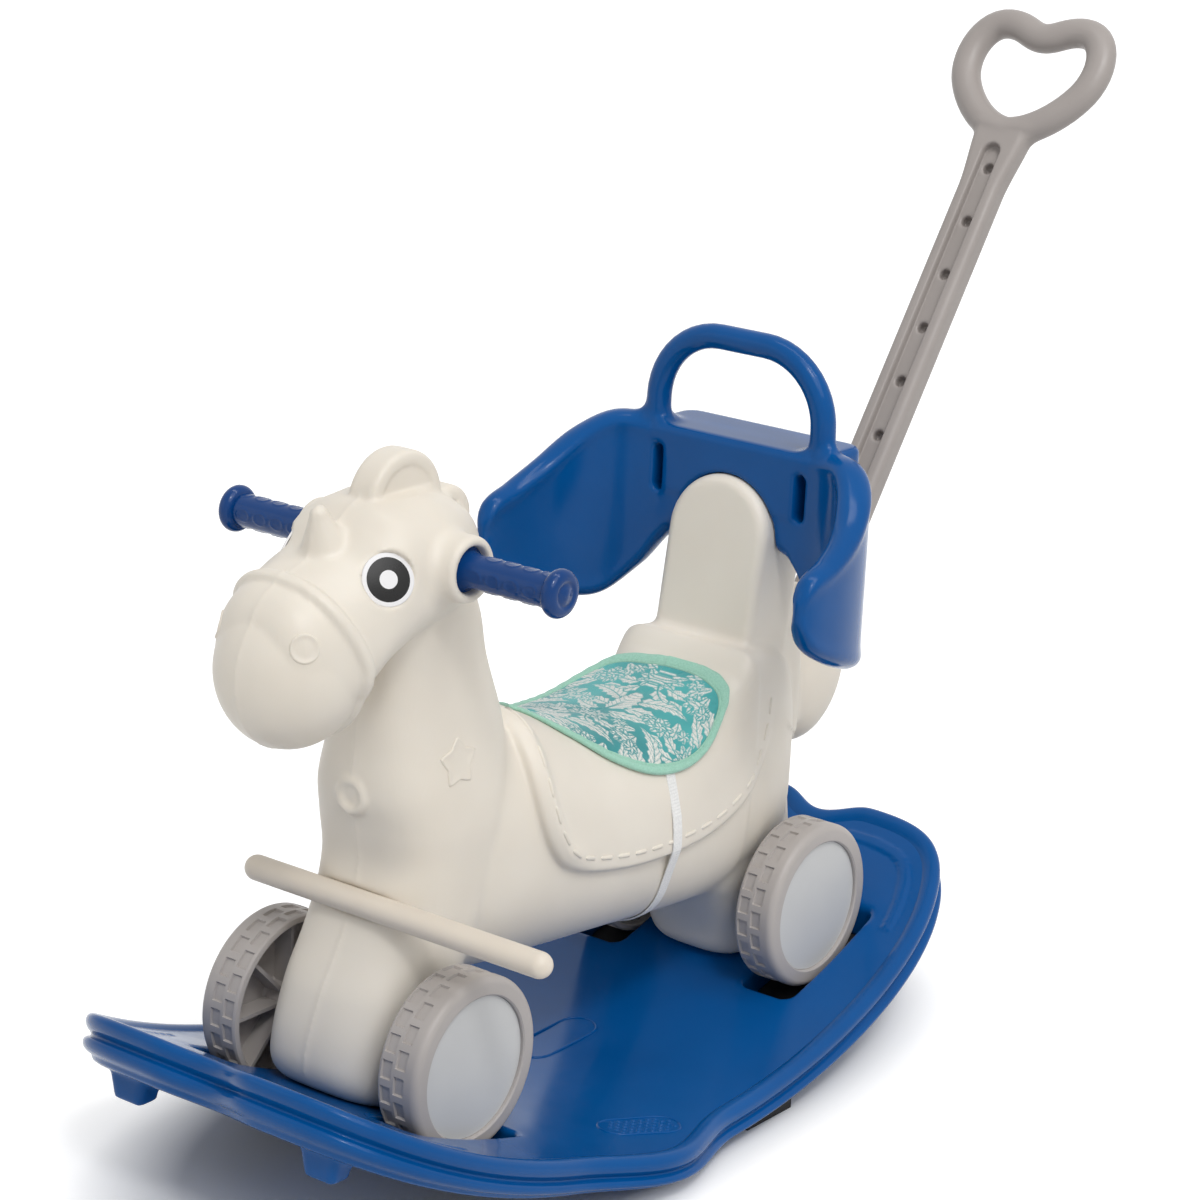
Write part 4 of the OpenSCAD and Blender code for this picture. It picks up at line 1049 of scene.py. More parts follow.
def board_field(x, y, z, pitch):
    """The board inside its rim, with a raised strip at each end."""
    edge = polygon_distance(board_edge, x[:, :, 0], y[:, :, 0] - BOARD_Y)[:, :, None]
    depth = np.hypot(y, z - deck_axis) - DECK_R
    rise = UNDER_R - np.hypot(y, z - under_axis)
    core = rounded(CORE_EDGE, edge + CORE_IN, np.maximum(-depth, -rise))
    strip_depth = np.maximum(-depth - STRIP_RISE, depth - STRIP_ROOT)
    strip = rounded(STRIP_EDGE, np.abs(edge + STRIP_IN) - STRIP_HALF, strip_depth)
    return np.minimum(core, np.maximum(strip, STRIP_END - np.abs(y)))


def end_stops(x, y, z, pitch):
    low = under_z(STOP_Y - BOARD_Y) - STOP_DROP
    depth = np.hypot(y, z - deck_axis) - DECK_R
    across = np.abs(x - STOP_X) - STOP_HALF[0] - STOP_FLARE * np.maximum(z - low - STOP_FOOT, 0)
    along = np.abs(np.abs(y - BOARD_Y) - STOP_Y) - STOP_HALF[1]
    plan = rounded(STOP_CORNER, across, along)
    return rounded(STOP_EDGE, plan, np.maximum(low - z, STOP_START - depth))


def wheel_wells(x, y, z, pitch):
    return rounded(WELL_CORNER, np.abs(x - WELL_X) - WELL_HALF[0], np.abs(np.abs(y) - WELL_Y) - WELL_HALF[1])


def sculpt_board():
    clay = Clay((0, -412, -2), (216, 404, 168), SKIN_PITCH)
    clay.add(board_field)
    clay.add(end_stops, ((60, -412, 50), (130, 404, 168)), 6)
    clay.cut(wheel_wells, ((50, -330, -2), (130, 330, 168)), 5)
    return clay.skin()


new_piece("rocker_board_skin", sculpt_board(), "rocker_board", "board_blue", BLUE, "rocker_board", relax=1)


def rim_line():
    """Even places round the board's edge, and the way out at each."""
    closed = np.vstack([board_edge, board_edge[:1]])
    marks = run_marks(closed)
    line = read_line(closed, marks, np.linspace(0, marks[-1], RIM_POINTS, endpoint=False))
    for _ in range(RIM_ROUNDS):
        line = (np.roll(line, 1, axis=0) + 2 * line + np.roll(line, -1, axis=0)) / 4
    return line + (0, BOARD_Y), right_of(np.roll(line, -2, axis=0) - np.roll(line, 2, axis=0))


def rim_mesh():
    """The beaded edge, swept once round the board."""
    line, out = rim_line()
    rings = []
    for reach, depth in RIM_UPPER:
        place = line + reach * out
        rings.append(np.column_stack([place, deck_z(place[:, 1], depth)]))
    for reach, share in RIM_LOWER:
        place = line + reach * out
        top = deck_z(place[:, 1], GROOVE_DEPTH)
        rings.append(np.column_stack([place, top + share * (under_z(place[:, 1]) - top)]))
    rings.append(rings[0])
    return np.vstack(rings), flipped(grid_faces(len(rings), RIM_POINTS))


new_piece("board_rim", rim_mesh(), "rocker_board", "board_blue", BLUE)

# Painted shade: thin black sheets under the open wheel wells, so that the wells read as deep shadow
SHADE_SHEET_T = 2
SHADE_SHEET_ROWS = 12
SHADE_SHEET_LIFT = 0.6
SHADE_SHEET_LAP = 3


def well_shade_sheets():
    """A thin black sheet in each open wheel well, along the underside's curve: painted shade for the dark
    inside of the well.
    """
    parts = []
    inner, outer = WELL_X - WELL_HALF[0] - SHADE_SHEET_LAP, WELL_X + WELL_HALF[0] + SHADE_SHEET_LAP
    corners = [(inner, 0), (outer, 0), (outer, SHADE_SHEET_T), (inner, SHADE_SHEET_T)]
    for end in (1, -1):
        rows = end * (WELL_Y + np.linspace(-1, 1, SHADE_SHEET_ROWS) * (WELL_HALF[1] + SHADE_SHEET_LAP))
        points = np.array([(x, y, under_z(y) + SHADE_SHEET_LIFT + rise) for y in rows for x, rise in corners])
        shade_sheet = points, grid_faces(SHADE_SHEET_ROWS, len(corners), capped=True)
        parts += [mirrored(shade_sheet, side) for _, side in SIDES]
    return joined(parts)


# The black sheets are painted shade in the open wells, not a part of the board
new_piece("well_shade_sheets", well_shade_sheets(), "rocker_board", "rubber_black", RUBBER)

BEAD_SIDES = 8
DOME_SIDES = 10
# A bead that runs more upright than this takes its sides from Y
STEEP = 0.9


def bead_line(line, radius, closed):
    """A thin tube along a line of points."""
    ahead = np.roll(line, -1, axis=0)
    behind = np.roll(line, 1, axis=0)
    if not closed:
        ahead[-1], behind[0] = line[-1], line[0]
    run = unit_rows(ahead - behind)
    up = np.tile((0.0, 0.0, 1.0), (len(line), 1))
    up[np.abs(run[:, 2]) > STEEP] = (0.0, 1.0, 0.0)
    side = unit_rows(np.cross(run, up))
    top = np.cross(side, run)
    turn = once_round(BEAD_SIDES)[None, :, None]
    rings = line[:, None] + radius * (np.cos(turn) * side[:, None] + np.sin(turn) * top[:, None])
    faces = grid_faces(len(line) + closed, BEAD_SIDES, capped=not closed)
    count = len(line) * BEAD_SIDES
    return rings.reshape(-1, 3), [tuple(i % count for i in face) for face in faces]


def dome(centre, radius, height):
    """A low round stud."""
    rows = arc((0, 0), (radius, height), 0, 90, 5)[:-1]
    points = [(r * math.cos(t), r * math.sin(t), h) for r, h in rows for t in once_round(DOME_SIDES)]
    tip = len(points)
    last = tip - DOME_SIDES
    faces = grid_faces(len(rows), DOME_SIDES) + [tuple(range(DOME_SIDES))[::-1]]
    faces += [(last + k, last + (k + 1) % DOME_SIDES, tip) for k in range(DOME_SIDES)]
    return np.array([*points, (0, 0, height)]) + centre, faces


def on_deck(flat, centre, turn):
    """Flat places, turned by an angle in degrees and laid on the deck about a centre."""
    c, s = turn_of(turn)
    x, y = np.transpose(flat)
    along = centre[1] + x * s + y * c
    return np.column_stack([centre[0] + x * c - y * s, along, deck_z(along)])


def pill(half_len, radius):
    """A round-ended outline."""
    ends = ((half_len, -90), (-half_len, 90))
    return np.vstack([arc((x, 0), (radius, radius), start, start + 180, 14) for x, start in ends])


# Centre, turn in degrees, half the straight length, radius of the ends and radius of the bead
DECK_PILL = ((-7, 18), 90, 28, 17, 1.1)
FOOT_PATCH = ((148, -72), 62, 18, 16, 1.0)
STUD_PITCH = (6.2, 5.4)
STUD_SIZE = (1.9, 1.2)
STUD_MARGIN = 3.5
STUD_SINK = (0, 0, 0.3)


def deck_relief():
    """A plain pill on the deck, and a studded foot patch on each side."""
    centre, turn, half_len, radius, bead = DECK_PILL
    parts = [bead_line(on_deck(pill(half_len, radius), centre, turn), bead, True)]
    centre, turn, half_len, radius, bead = FOOT_PATCH
    grid = [(STUD_PITCH[0] * (i + j % 2 / 2), STUD_PITCH[1] * j) for i in range(-4, 5) for j in range(-2, 3)]
    studs = [
        (along, across) for along, across in grid
        if math.hypot(max(abs(along) - half_len, 0), across) < radius - STUD_MARGIN
    ]
    for _, side in SIDES:
        parts.append(bead_line(on_deck(pill(half_len, radius), centre, turn) * (side, 1, 1), bead, True))
        places = on_deck(studs, centre, turn) * (side, 1, 1) - STUD_SINK
        parts += [dome(place, *STUD_SIZE) for place in places]
    return joined(parts)


new_piece("deck_relief", deck_relief(), "rocker_board", "board_blue", BLUE)


# Wheels: Z runs from the inner face to the outer face, and becomes X
TREAD_DEPTH = 1.9
TREAD_PITCHES = 22
POCKET_SHARE = 0.72
# Rows of pockets: inner and outer edge, and start as a share of the pitch
TREAD_ROWS = [(3.2, 13.0, 0.0), (15.8, 25.4, 0.5)]
POCKET_EDGE = 0.7
POCKET_EDGE_SHARE = POCKET_EDGE * TREAD_PITCHES / (2 * math.pi * WHEEL_R)
SHOULDER = 6
CAP_R = 55.3
HUB_R = 13
AXLE_R = 5.05
RIM_T = 6
WEB = (24, 28)
CAP_SEAT = 31.5
CAP_LEDGE = 6
RIBS = 8
RIB_HALF = 1.5
RIB_LOW = 7
RIB_ROOT = 0.5
WHEEL_CREASE = 34


def ledges(low, high, edge):
    """Where a pocket starts, reaches its floor, is half done, leaves its floor and ends."""
    return low, low + edge, (low + high) / 2, high - edge, high


def tread_turns():
    """Angles, in pitches, of every edge of the tread's pockets once round the wheel."""
    marks = sorted({
        round((start + step) % 1, 5)
        for _, _, start in TREAD_ROWS for step in ledges(0, POCKET_SHARE, POCKET_EDGE_SHARE)
    })
    return np.array([n + m for n in range(TREAD_PITCHES) for m in marks])


def within(value, low, high, edge):
    """1 inside a span and 0 outside, with sloping edges."""
    return np.clip((value - low) / edge, 0, 1) * np.clip((high - value) / edge, 0, 1)


def pocket(turns, z):
    """1 on the floor of a pocket, 0 on the tread's raised faces."""
    return sum(
        within((turns - start) % 1, 0, POCKET_SHARE, POCKET_EDGE_SHARE) * within(z, low, high, POCKET_EDGE)
        for low, high, start in TREAD_ROWS
    )


def wheel_mesh():
    tread = sorted({z for low, high, _ in TREAD_ROWS for z in ledges(low, high, POCKET_EDGE)})
    inner = WHEEL_R - RIM_T
    shoulder = arc((WHEEL_R - SHOULDER, WHEEL_W - SHOULDER), (SHOULDER, SHOULDER), 0, 90, 7)
    profile = [
        (AXLE_R, 0), (HUB_R - 1, 0), (HUB_R, 1), (HUB_R, WEB[0] - 2), (HUB_R + 2, WEB[0]),
        (inner - 3, WEB[0]), (inner, WEB[0] - 3), (inner, 1), (inner + 1, 0), (WHEEL_R - 3, 0),
        (WHEEL_R - 1, 0.8), (WHEEL_R, 2.6), *[(WHEEL_R, z) for z in tread], *shoulder,
        (CAP_R + 1.2, WHEEL_W), (CAP_R, WHEEL_W - 1), (CAP_R, CAP_SEAT), (CAP_R - CAP_LEDGE, CAP_SEAT),
        (CAP_R - CAP_LEDGE, WEB[1]), (AXLE_R, WEB[1]), (AXLE_R, 0),
    ]
    turns = tread_turns()
    angles = 2 * math.pi * turns / TREAD_PITCHES
    points = turned(profile, angles, WHEEL_R, lambda z: -TREAD_DEPTH * pocket(turns, z))
    parts = [(points, grid_faces(len(profile), len(turns)))]
    hub, rim = HUB_R - RIB_ROOT, inner + RIB_ROOT
    corners = [(hub, -RIB_HALF), (rim, -RIB_HALF), (rim, RIB_HALF), (hub, RIB_HALF)]
    for a in once_round(RIBS):
        c, s = math.cos(a), math.sin(a)
        points = [
            (z, c * out - s * across, s * out + c * across)
            for z in (RIB_LOW, WEB[0] + RIB_ROOT) for out, across in corners
        ]
        parts.append((points, flipped(grid_faces(2, len(corners), capped=True))))
    return joined(parts)


wheel_points, wheel_faces = wheel_mesh()
for end_name, end_place in (("front", FORE_Y), ("rear", AFT_Y)):
    for side_name, side in SIDES:
        wheel = mirrored((wheel_points + (WHEEL_X, end_place, AXLE_Z), wheel_faces), side)
        wheel_name = f"{end_name}_{side_name}_wheel"
        new_piece(f"{wheel_name}_tyre", wheel, wheel_name, "wheel_grey", GREY, wheel_name, sharp=WHEEL_CREASE)


# Grips with embossed ovals
GRIP_START = 67.3
GRIP_END = 161
GRIP_R = 12.5
GRIP_FLARE_R = 17
GRIP_FLARE_LEN = 16
FLANGE_R = 18
FLANGE_T = 13
BAR_R = 7.5
GRIP_FLOOR = 9
GRIP_COLUMNS = 96
GRIP_STEP = 0.8
GRIP_CREASE = 50
OVAL_ROWS = 4
OVAL_COUNT = 4
OVAL_PITCH = 17
OVAL_HALF = (7.2, 5.2)
OVAL_START = 3
OVAL_RISE = 0.6
# The raised line of an oval: its middle and half width as shares of OVAL_HALF
OVAL_LINE = (0.85, 0.14)
# Rings on the grip's end: radius, and distance beyond GRIP_END
END_RINGS = [(10, 0), (9.2, -0.9), (7.6, -0.9), (6.8, 0), (4.6, 0), (4.0, 0.6), (0.01, 0.8)]


def oval_relief(along, angle):
    """Height of raised oval rings in staggered rows round a grip."""
    height = np.zeros(len(angle))
    for row in range(OVAL_ROWS):
        centre = 2 * np.pi * row / OVAL_ROWS
        across = ((angle - centre + np.pi) % (2 * np.pi) - np.pi) * GRIP_R
        shift = OVAL_PITCH / 2 * (row % 2)
        nearest = np.clip(np.round((along - shift) / OVAL_PITCH), 0, OVAL_COUNT - 1) * OVAL_PITCH + shift
        ring = np.hypot((along - nearest) / OVAL_HALF[0], across / OVAL_HALF[1]) - OVAL_LINE[0]
        height += OVAL_RISE * np.exp(-(ring / OVAL_LINE[1])**2)
    return height


def grip_mesh():
    neck = GRIP_START + GRIP_FLARE_LEN
    lip = FLANGE_T / 2
    profile = [
        (BAR_R, GRIP_START), (GRIP_FLARE_R - 1, GRIP_START), (GRIP_FLARE_R, GRIP_START + 1),
        *arc((GRIP_FLARE_R, neck), (GRIP_FLARE_R - GRIP_R, 3 - GRIP_FLARE_LEN), 90, 180, 8),
        *[(GRIP_R, x) for x in np.arange(neck + 1, GRIP_END - FLANGE_T, GRIP_STEP)],
        (GRIP_R, GRIP_END - FLANGE_T), *arc((FLANGE_R - lip, GRIP_END - lip), (lip, lip), -90, 90, 13),
        *[(r, GRIP_END + beyond) for r, beyond in END_RINGS],
    ]
    angle = once_round(GRIP_COLUMNS)
    outside = turned(profile, angle, GRIP_R, lambda x: oval_relief(x - neck - OVAL_START, angle))
    hole = turned([(BAR_R, GRIP_END - GRIP_FLOOR), (BAR_R, GRIP_START)], angle)
    hole_faces = grid_faces(2, GRIP_COLUMNS) + [tuple(range(GRIP_COLUMNS))]
    return joined([(outside, grid_faces(len(profile), GRIP_COLUMNS)), (hole, hole_faces)])


grip_points, grip_faces = grip_mesh()
for side_name, side in SIDES:
    grip = mirrored((grip_points + (0, BAR_AXIS[0], BAR_AXIS[1] + AXLE_Z), grip_faces), side)
    grip_name = f"{side_name}_grip"
    new_piece(f"{grip_name}_skin", grip, "horse", "grip_blue", GRIP_BLUE, grip_name, sharp=GRIP_CREASE)


# Eyes: a low dome with a white ring, a black disc and a white middle
EYE_T = 1.6
EYE_DOME = 1.3
EYE_EDGE = 0.6
EYE_SINK = 0.05
EYE_COLUMNS = 64
EYE_RINGS = [0.01, 3, 6.3, 6.7, 9, 12, 15.7, 16.1, 17.5, 18.6, 19.2, 19.5]
# Outer radius of each band, and its material
EYE_BANDS = [(6.5, 1), (15.9, 0), (EYE_R, 1)]


def axes_about(direction):
    """Two axes square to a direction, the second as near upright as it can be."""
    side_axis = np.cross((0, 0, 1), direction)
    side_axis /= np.linalg.norm(side_axis)
    return side_axis, np.cross(direction, side_axis)


def eye_mesh():
    """Points, faces and each face's material."""
    side_axis, up_axis = axes_about(eye_axis)
    heights = [EYE_T + EYE_DOME * (1 - (r / EYE_R)**2) for r in EYE_RINGS]
    heights[-1] -= EYE_EDGE
    rows = [*zip(EYE_RINGS, heights), (EYE_R, EYE_SINK), (0.01, EYE_SINK)]
    points = [
        np.array(EYE_AT) + h * np.array(eye_axis) + r * (math.cos(a) * side_axis + math.sin(a) * up_axis)
        for r, h in rows for a in once_round(EYE_COLUMNS)
    ]
    middles = [(rows[k][0] + rows[k + 1][0]) / 2 for k in range(len(rows) - 1) for _ in range(EYE_COLUMNS)]
    tints = [next(tint for limit, tint in EYE_BANDS if r <= limit) for r in middles]
    return np.array(points) + (0, 0, AXLE_Z), flipped(grid_faces(len(rows), EYE_COLUMNS)), tints


*eye, eye_tints = eye_mesh()
for side_name, side in SIDES:
    eye_name = f"{side_name}_eye"
    disc = new_piece(f"{eye_name}_disc", mirrored(eye, side), "horse", "eye_black", EYE_BLACK, eye_name)
    disc.data.materials.append(EYE_WHITE)
    disc.data.polygons.foreach_set("material_index", eye_tints)


# Raised details that lie on the horse's skin
skin_points, skin_quads = horse_mesh
skin_tree = BVHTree.FromPolygons([Vector(p) for p in skin_points], [list(map(int, q)) for q in skin_quads])
EMBOSS_COLUMNS = 80
EMBOSS_FROM = 40
EMBOSS_MIDDLE = 0.002
STAR_AT = (60, -193, 217 + AXLE_Z)
STAR_FACING = (1, -0.35, 0)
STAR_POINTS = 5
STAR_R = 12.5
STAR_REACH = 6.5
STAR_POWER = 1.6
NOSTRIL_AT = (45, -352, 338 + AXLE_Z)
NOSTRIL_FACING = (0.62, -0.74, 0.3)
NOSTRIL_R = 10.5
# Share of the reach from the middle, and height on the skin
STAR_HEIGHTS = [(0, 0.7), (0.5, 0.7), (0.8, 0.8), (0.9, 1.3), (0.97, 1.0), (1, 0.2), (1.03, -0.6)]
NOSTRIL_HEIGHTS = [(0, 0.2), (0.5, 0.2), (0.78, 0.2), (0.86, 1.0), (0.95, 1.0), (1, 0.4), (1.05, -0.6)]
STITCH_INSET = 12
STITCH_LEN = 16
STITCH_STEP = 22
STITCH_HALF = 1.9
STITCH_RISE = 1.5
STITCH_SINK = 0.25
STITCH_LAST = 55
STITCH_FROM = 130
STITCH_SQUARENESS = 8
STITCH_TIP = 0.003


def on_skin(start, direction):
    """Where a ray meets the horse, and the skin's outward direction there."""
    place, normal, _, _ = skin_tree.ray_cast(Vector(start), Vector(direction))
    if place is None:
        place, normal, _, _ = skin_tree.find_nearest(Vector(start))
    normal = np.array(normal)
    return np.array(place), -normal if normal @ np.array(direction) > 0 else normal


def emboss(centre, direction, outline, heights):
    """A raised shape on the skin; outline gives its reach at an angle."""
    direction = np.array(Vector(direction).normalized())
    side_axis, up_axis = axes_about(direction)
    points = []
    for share, height in heights:
        for a in once_round(EMBOSS_COLUMNS):
            reach = max(share, EMBOSS_MIDDLE) * outline(a)
            flat = np.array(centre) + reach * (math.cos(a) * side_axis + math.sin(a) * up_axis)
            place, normal = on_skin(flat + direction * EMBOSS_FROM, -direction)
            points.append(place + height * normal)
    return np.array(points), flipped(grid_faces(len(heights), EMBOSS_COLUMNS))


def star_reach(angle):
    """A round-pointed star, one point up."""
    half_turn = math.pi / STAR_POINTS
    turn = (angle - math.pi / 2) % (2 * half_turn)
    return STAR_R + STAR_REACH * (abs(turn - half_turn) / half_turn)**STAR_POWER


def nostril_reach(angle):
    return NOSTRIL_R


def stitch(middle, run):
    """One moulded stitch: a low round-ended ridge on the skin."""
    across = np.array((-run[1], run[0]))
    stations = np.linspace(-1, 1, 9)
    section = arc((0, 0), (STITCH_HALF, STITCH_RISE), 0, 180, 7)
    points = []
    for s in stations:
        width = math.sqrt(max(1 - abs(s)**STITCH_SQUARENESS, STITCH_TIP))
        for side, rise in width * section:
            flat = middle + s * STITCH_LEN / 2 * run + side * across
            place, normal = on_skin((STITCH_FROM, flat[0], flat[1] + AXLE_Z), (-1, 0, 0))
            points.append(place + (rise - STITCH_SINK) * normal)
    return np.array(points), grid_faces(len(stations), len(section), closed=False)


def stitches():
    """A row of stitches inside the saddle flap's edge."""
    edge = rounded_line(FLAP_EDGE, 300)
    run = unit_rows(np.gradient(edge, axis=0))
    inside = edge - STITCH_INSET * right_of(run)
    marks = run_marks(inside)
    places = np.arange(STITCH_STEP, marks[-1] - STITCH_LAST, STITCH_STEP)
    return [
        stitch(middle, way)
        for middle, way in zip(read_line(inside, marks, places), unit_rows(read_line(run, marks, places)))
    ]


skin_relief = [
    emboss(STAR_AT, STAR_FACING, star_reach, STAR_HEIGHTS),
    emboss(NOSTRIL_AT, NOSTRIL_FACING, nostril_reach, NOSTRIL_HEIGHTS),
    *stitches(),
]
both_sides = joined([mirrored(part, side) for part in skin_relief for _, side in SIDES])
new_piece("horse_relief", both_sides, "horse", "horse_cream", CREAM)


# Seat pad: a leaf of brocade that points to the neck and hangs over the near flank
PAD_FRONT_Y = -71
PAD_LEN = 222
PAD_HALF = 82
# Degrees round the barrel for each millimetre of reach
PAD_TURN = 0.72
PAD_T = 8
PAD_EDGE_T = 3
PAD_LIFT = FLAP_T + 0.6
PAD_MID = 0.56
FAR_FLAT = 0.8
BIND_W = 9
BIND_GAP = 0.3
# Share of the pad's length from its front, and share of its greatest reach
PAD_TABLE = [
    (0, 0.02), (0.05, 0.2), (0.15, 0.44), (0.3, 0.72), (0.48, 0.93), (0.65, 1), (0.8, 0.97), (0.91, 0.82),
    (0.97, 0.58), (1, 0.03),
]
pad_centre = np.array((PAD_FRONT_Y + PAD_MID * PAD_LEN, 0.0))


def on_saddle(y, angle, lift):
    """A place on the barrel at an angle from its top, moved out by a lift."""
    row = row_at(BARREL_TABLE, (y - FORE_Y) / WHEELBASE)
    half, low, top = row[..., 1], row[..., 2], row[..., 3]
    c, s = np.cos(np.radians(angle)), np.sin(np.radians(angle))
    power = np.where(c < 0, np.minimum(row[..., 4], BELLY_POWER), row[..., 4])
    half_h = (top - low) / 2
    across, upward = (np.sign(v) * np.abs(v)**(2 / power) for v in (s, c))
    return np.stack([(half + lift) * across, y, low + half_h + (half_h + lift) * upward], axis=-1)


def on_pad(y, reach, lift):
    """The pad lies on the near flank, but its far half stays nearly flat."""
    near = on_saddle(y, np.abs(reach) * PAD_TURN, lift)
    top = on_saddle(y, 0 * reach, lift)[..., 2]
    droop = 1 - FAR_FLAT
    far = np.stack([FAR_FLAT * reach - droop * near[..., 0], y, top - droop * (top - near[..., 2])], axis=-1)
    return np.where((reach >= 0)[..., None], near, far)


def pad_rim(spokes):
    """Edge of the pad as distance along Y and reach to the side, once round."""
    s = (1 - np.cos(np.pi * np.arange(spokes + 1) / spokes)) / 2
    reach = PAD_HALF * row_at(PAD_TABLE, s)[:, 1]
    near = np.column_stack([PAD_FRONT_Y + s * PAD_LEN, reach])
    return np.vstack([near, (near * (1, -1))[-2:0:-1]])


def inset_rim(rim, inset):
    """The rim about the pad's middle, drawn in."""
    out = rim - pad_centre
    return out * (1 - inset / np.linalg.norm(out, axis=1))[:, None]


def pad_flat(spokes, shares):
    """Flat places of the pad's rings, from its middle to the binding."""
    return pad_centre + shares[:, None, None] * inset_rim(pad_rim(spokes), BIND_W + BIND_GAP)[None]


def on_rings(flat, lift):
    return on_pad(flat[..., 0], flat[..., 1], lift) + (0, 0, AXLE_Z)


def pad_shell(top, under):
    """A closed mesh from rings on top, middle to edge, and rings below, edge to middle."""
    rings = np.vstack([top, under])
    return rings.reshape(-1, 3), grid_faces(len(rings), rings.shape[1], capped=True)


# The stuffing: a coarse pad, a little thin, is blown up as cloth and its rise is kept
PUFF_SPOKES = 48
PUFF_RINGS = np.linspace(0.06, 1, 14)
PUFF_START = 0.8
PUFF_PRESSURE = 4
PUFF_FRAMES = 20
PUFF_MOST = 1.4


def thin_crown(shares):
    """Lift of the cover before it is filled, for each ring."""
    crown = PAD_LIFT + PAD_EDGE_T + (PAD_T - PAD_EDGE_T) * (1 - shares**3)
    return (PAD_LIFT + PUFF_START * (crown - PAD_LIFT))[:, None]


def puff():
    """How far the filling lifts the cover, ring by ring."""
    flat = pad_flat(PUFF_SPOKES, PUFF_RINGS)
    points, faces = pad_shell(on_rings(flat, thin_crown(PUFF_RINGS)), on_rings(flat[::-1], PAD_LIFT))
    rows, columns = flat.shape[:2]
    mesh = bpy.data.meshes.new("pad_form")
    mesh.from_pydata((points * MM).tolist(), [], faces)
    form = add_object("pad_form", mesh)
    held = form.vertex_groups.new(name="held")
    held.add(list(range((rows - 1) * columns, len(points))), 1.0, "REPLACE")
    cloth = form.modifiers.new("cloth", "CLOTH")
    cloth.settings.vertex_group_mass = "held"
    cloth.settings.use_pressure = True
    cloth.settings.uniform_pressure_force = PUFF_PRESSURE
    cloth.settings.effector_weights.gravity = 0
    cloth.point_cache.frame_start = 1
    cloth.point_cache.frame_end = PUFF_FRAMES
    for step in range(1, PUFF_FRAMES + 1):
        bpy.context.scene.frame_set(step)
    filled = form.evaluated_get(bpy.context.evaluated_depsgraph_get()).to_mesh()
    after = np.empty(3 * len(points))
    filled.vertices.foreach_get("co", after)
    moved = np.linalg.norm(after.reshape(-1, 3) / MM - points, axis=1)[:rows * columns]
    bpy.context.scene.frame_set(1)
    bpy.data.objects.remove(form)
    return np.minimum(moved, PUFF_MOST).reshape(rows, columns)


def spread(values, shares, spokes):
    """Values on the coarse rings, read at finer rings and spokes."""
    count = values.shape[1]
    wrapped = np.column_stack([values, values[:, 0]])
    place = np.arange(2 * spokes) * count / (2 * spokes)
    left = np.floor(place).astype(int)
    round_way = wrapped[:, left] + (place - left) * (wrapped[:, left + 1] - wrapped[:, left])
    return np.column_stack([np.interp(shares, PUFF_RINGS, line) for line in round_way.T])


# Brocade: a damask of flowers and feathered leaves, mirrored and laid in half steps
TILE_W = 76
TILE_H = 92
VEIN = 0.9
VEIN_STEP = 5.2
VEIN_SLANT = 1.2
VEIN_EDGE = (-1.0, -0.6)
VEIN_SHADE = 0.3
LEAF_GAP = 1.4
LEAF_SOFT = 0.5
LEAF_FULLNESS = 0.75
NOTCH = 0.3
# Foot across and along, turn in degrees, length, half width, bend and lobes; later ones lie on top
LEAVES = [
    (34, 44, 222, 24, 6.0, 0.35, 3), (36, -8, 250, 24, 5.5, 0.3, 3), (34, 8, 150, 20, 5.0, 0.5, 3),
    (5, 18, -62, 24, 6.0, 0.5, 4), (9, 24, -18, 26, 6.5, 0.45, 4), (6, 44, 24, 20, 5.5, 0.4, 3),
    (3, -40, 4, 36, 8.0, 0.5, 5), (2, -26, 30, 44, 9.5, -0.5, 6), (2, -10, 50, 42, 9.0, -0.55, 6),
    (0, -34, 90, 46, 8.0, 0.0, 6),
]
# Centre across and along, petals, petal length and half width
FLOWERS = [
    (0, 32, 9, 15.0, 5.2), (0, 32, 6, 9.0, 3.8), (38, 25, 8, 13.0, 5.2), (38, 25, 5, 7.0, 3.2),
    (27, -22, 6, 8.5, 3.6), (20, 40, 6, 7.5, 3.2),
]
PETALS = [
    (u, v, 90 + 360 * k / count, length, width, 0.0, 1)
    for u, v, count, length, width in FLOWERS for k in range(count)
]


def lay_leaf(figure, p, q, foot_p, foot_q, turn, length, width, bend, lobes):
    """Adds a lobed leaf with a midrib and side veins, and clears a thin gap round it."""
    c, s = turn_of(turn)
    run = (p - foot_p) * c + (q - foot_q) * s
    across = np.abs((q - foot_q) * c - (p - foot_p) * s - bend * run * run / length)
    share = np.clip(run / length, 0, 1)
    edge = width * np.sin(np.pi * share**LEAF_FULLNESS) * (1 - NOTCH * np.abs(np.sin(lobes * np.pi * share)))
    on_leaf = (run > 0) & (run < length)
    inside = smooth_step(-LEAF_SOFT, LEAF_SOFT, edge - across) * on_leaf
    cleared = smooth_step(-LEAF_SOFT, LEAF_SOFT, edge + LEAF_GAP - across) * on_leaf
    midrib = smooth_step(0.3 * VEIN, VEIN, across)
    veins = smooth_step(*VEIN_EDGE, np.sin((run - VEIN_SLANT * across) * 2 * np.pi / VEIN_STEP))
    return np.maximum(figure * (1 - cleared), inside * midrib * (VEIN_SHADE + (1 - VEIN_SHADE) * veins))


def brocade(p, q):
    """1 on the silver figure and 0 on the ground."""
    figure = np.zeros(p.shape)
    column = np.round(p / TILE_W)
    for shift in (-1, 0, 1):
        u = np.abs(p - (column + shift) * TILE_W)
        raised = q + TILE_H / 2 * ((column + shift) % 2)
        for step in (-1, 0, 1):
            v = raised - (np.round(raised / TILE_H) + step) * TILE_H
            for row in LEAVES + PETALS:
                figure = lay_leaf(figure, u, v, *row)
    return figure


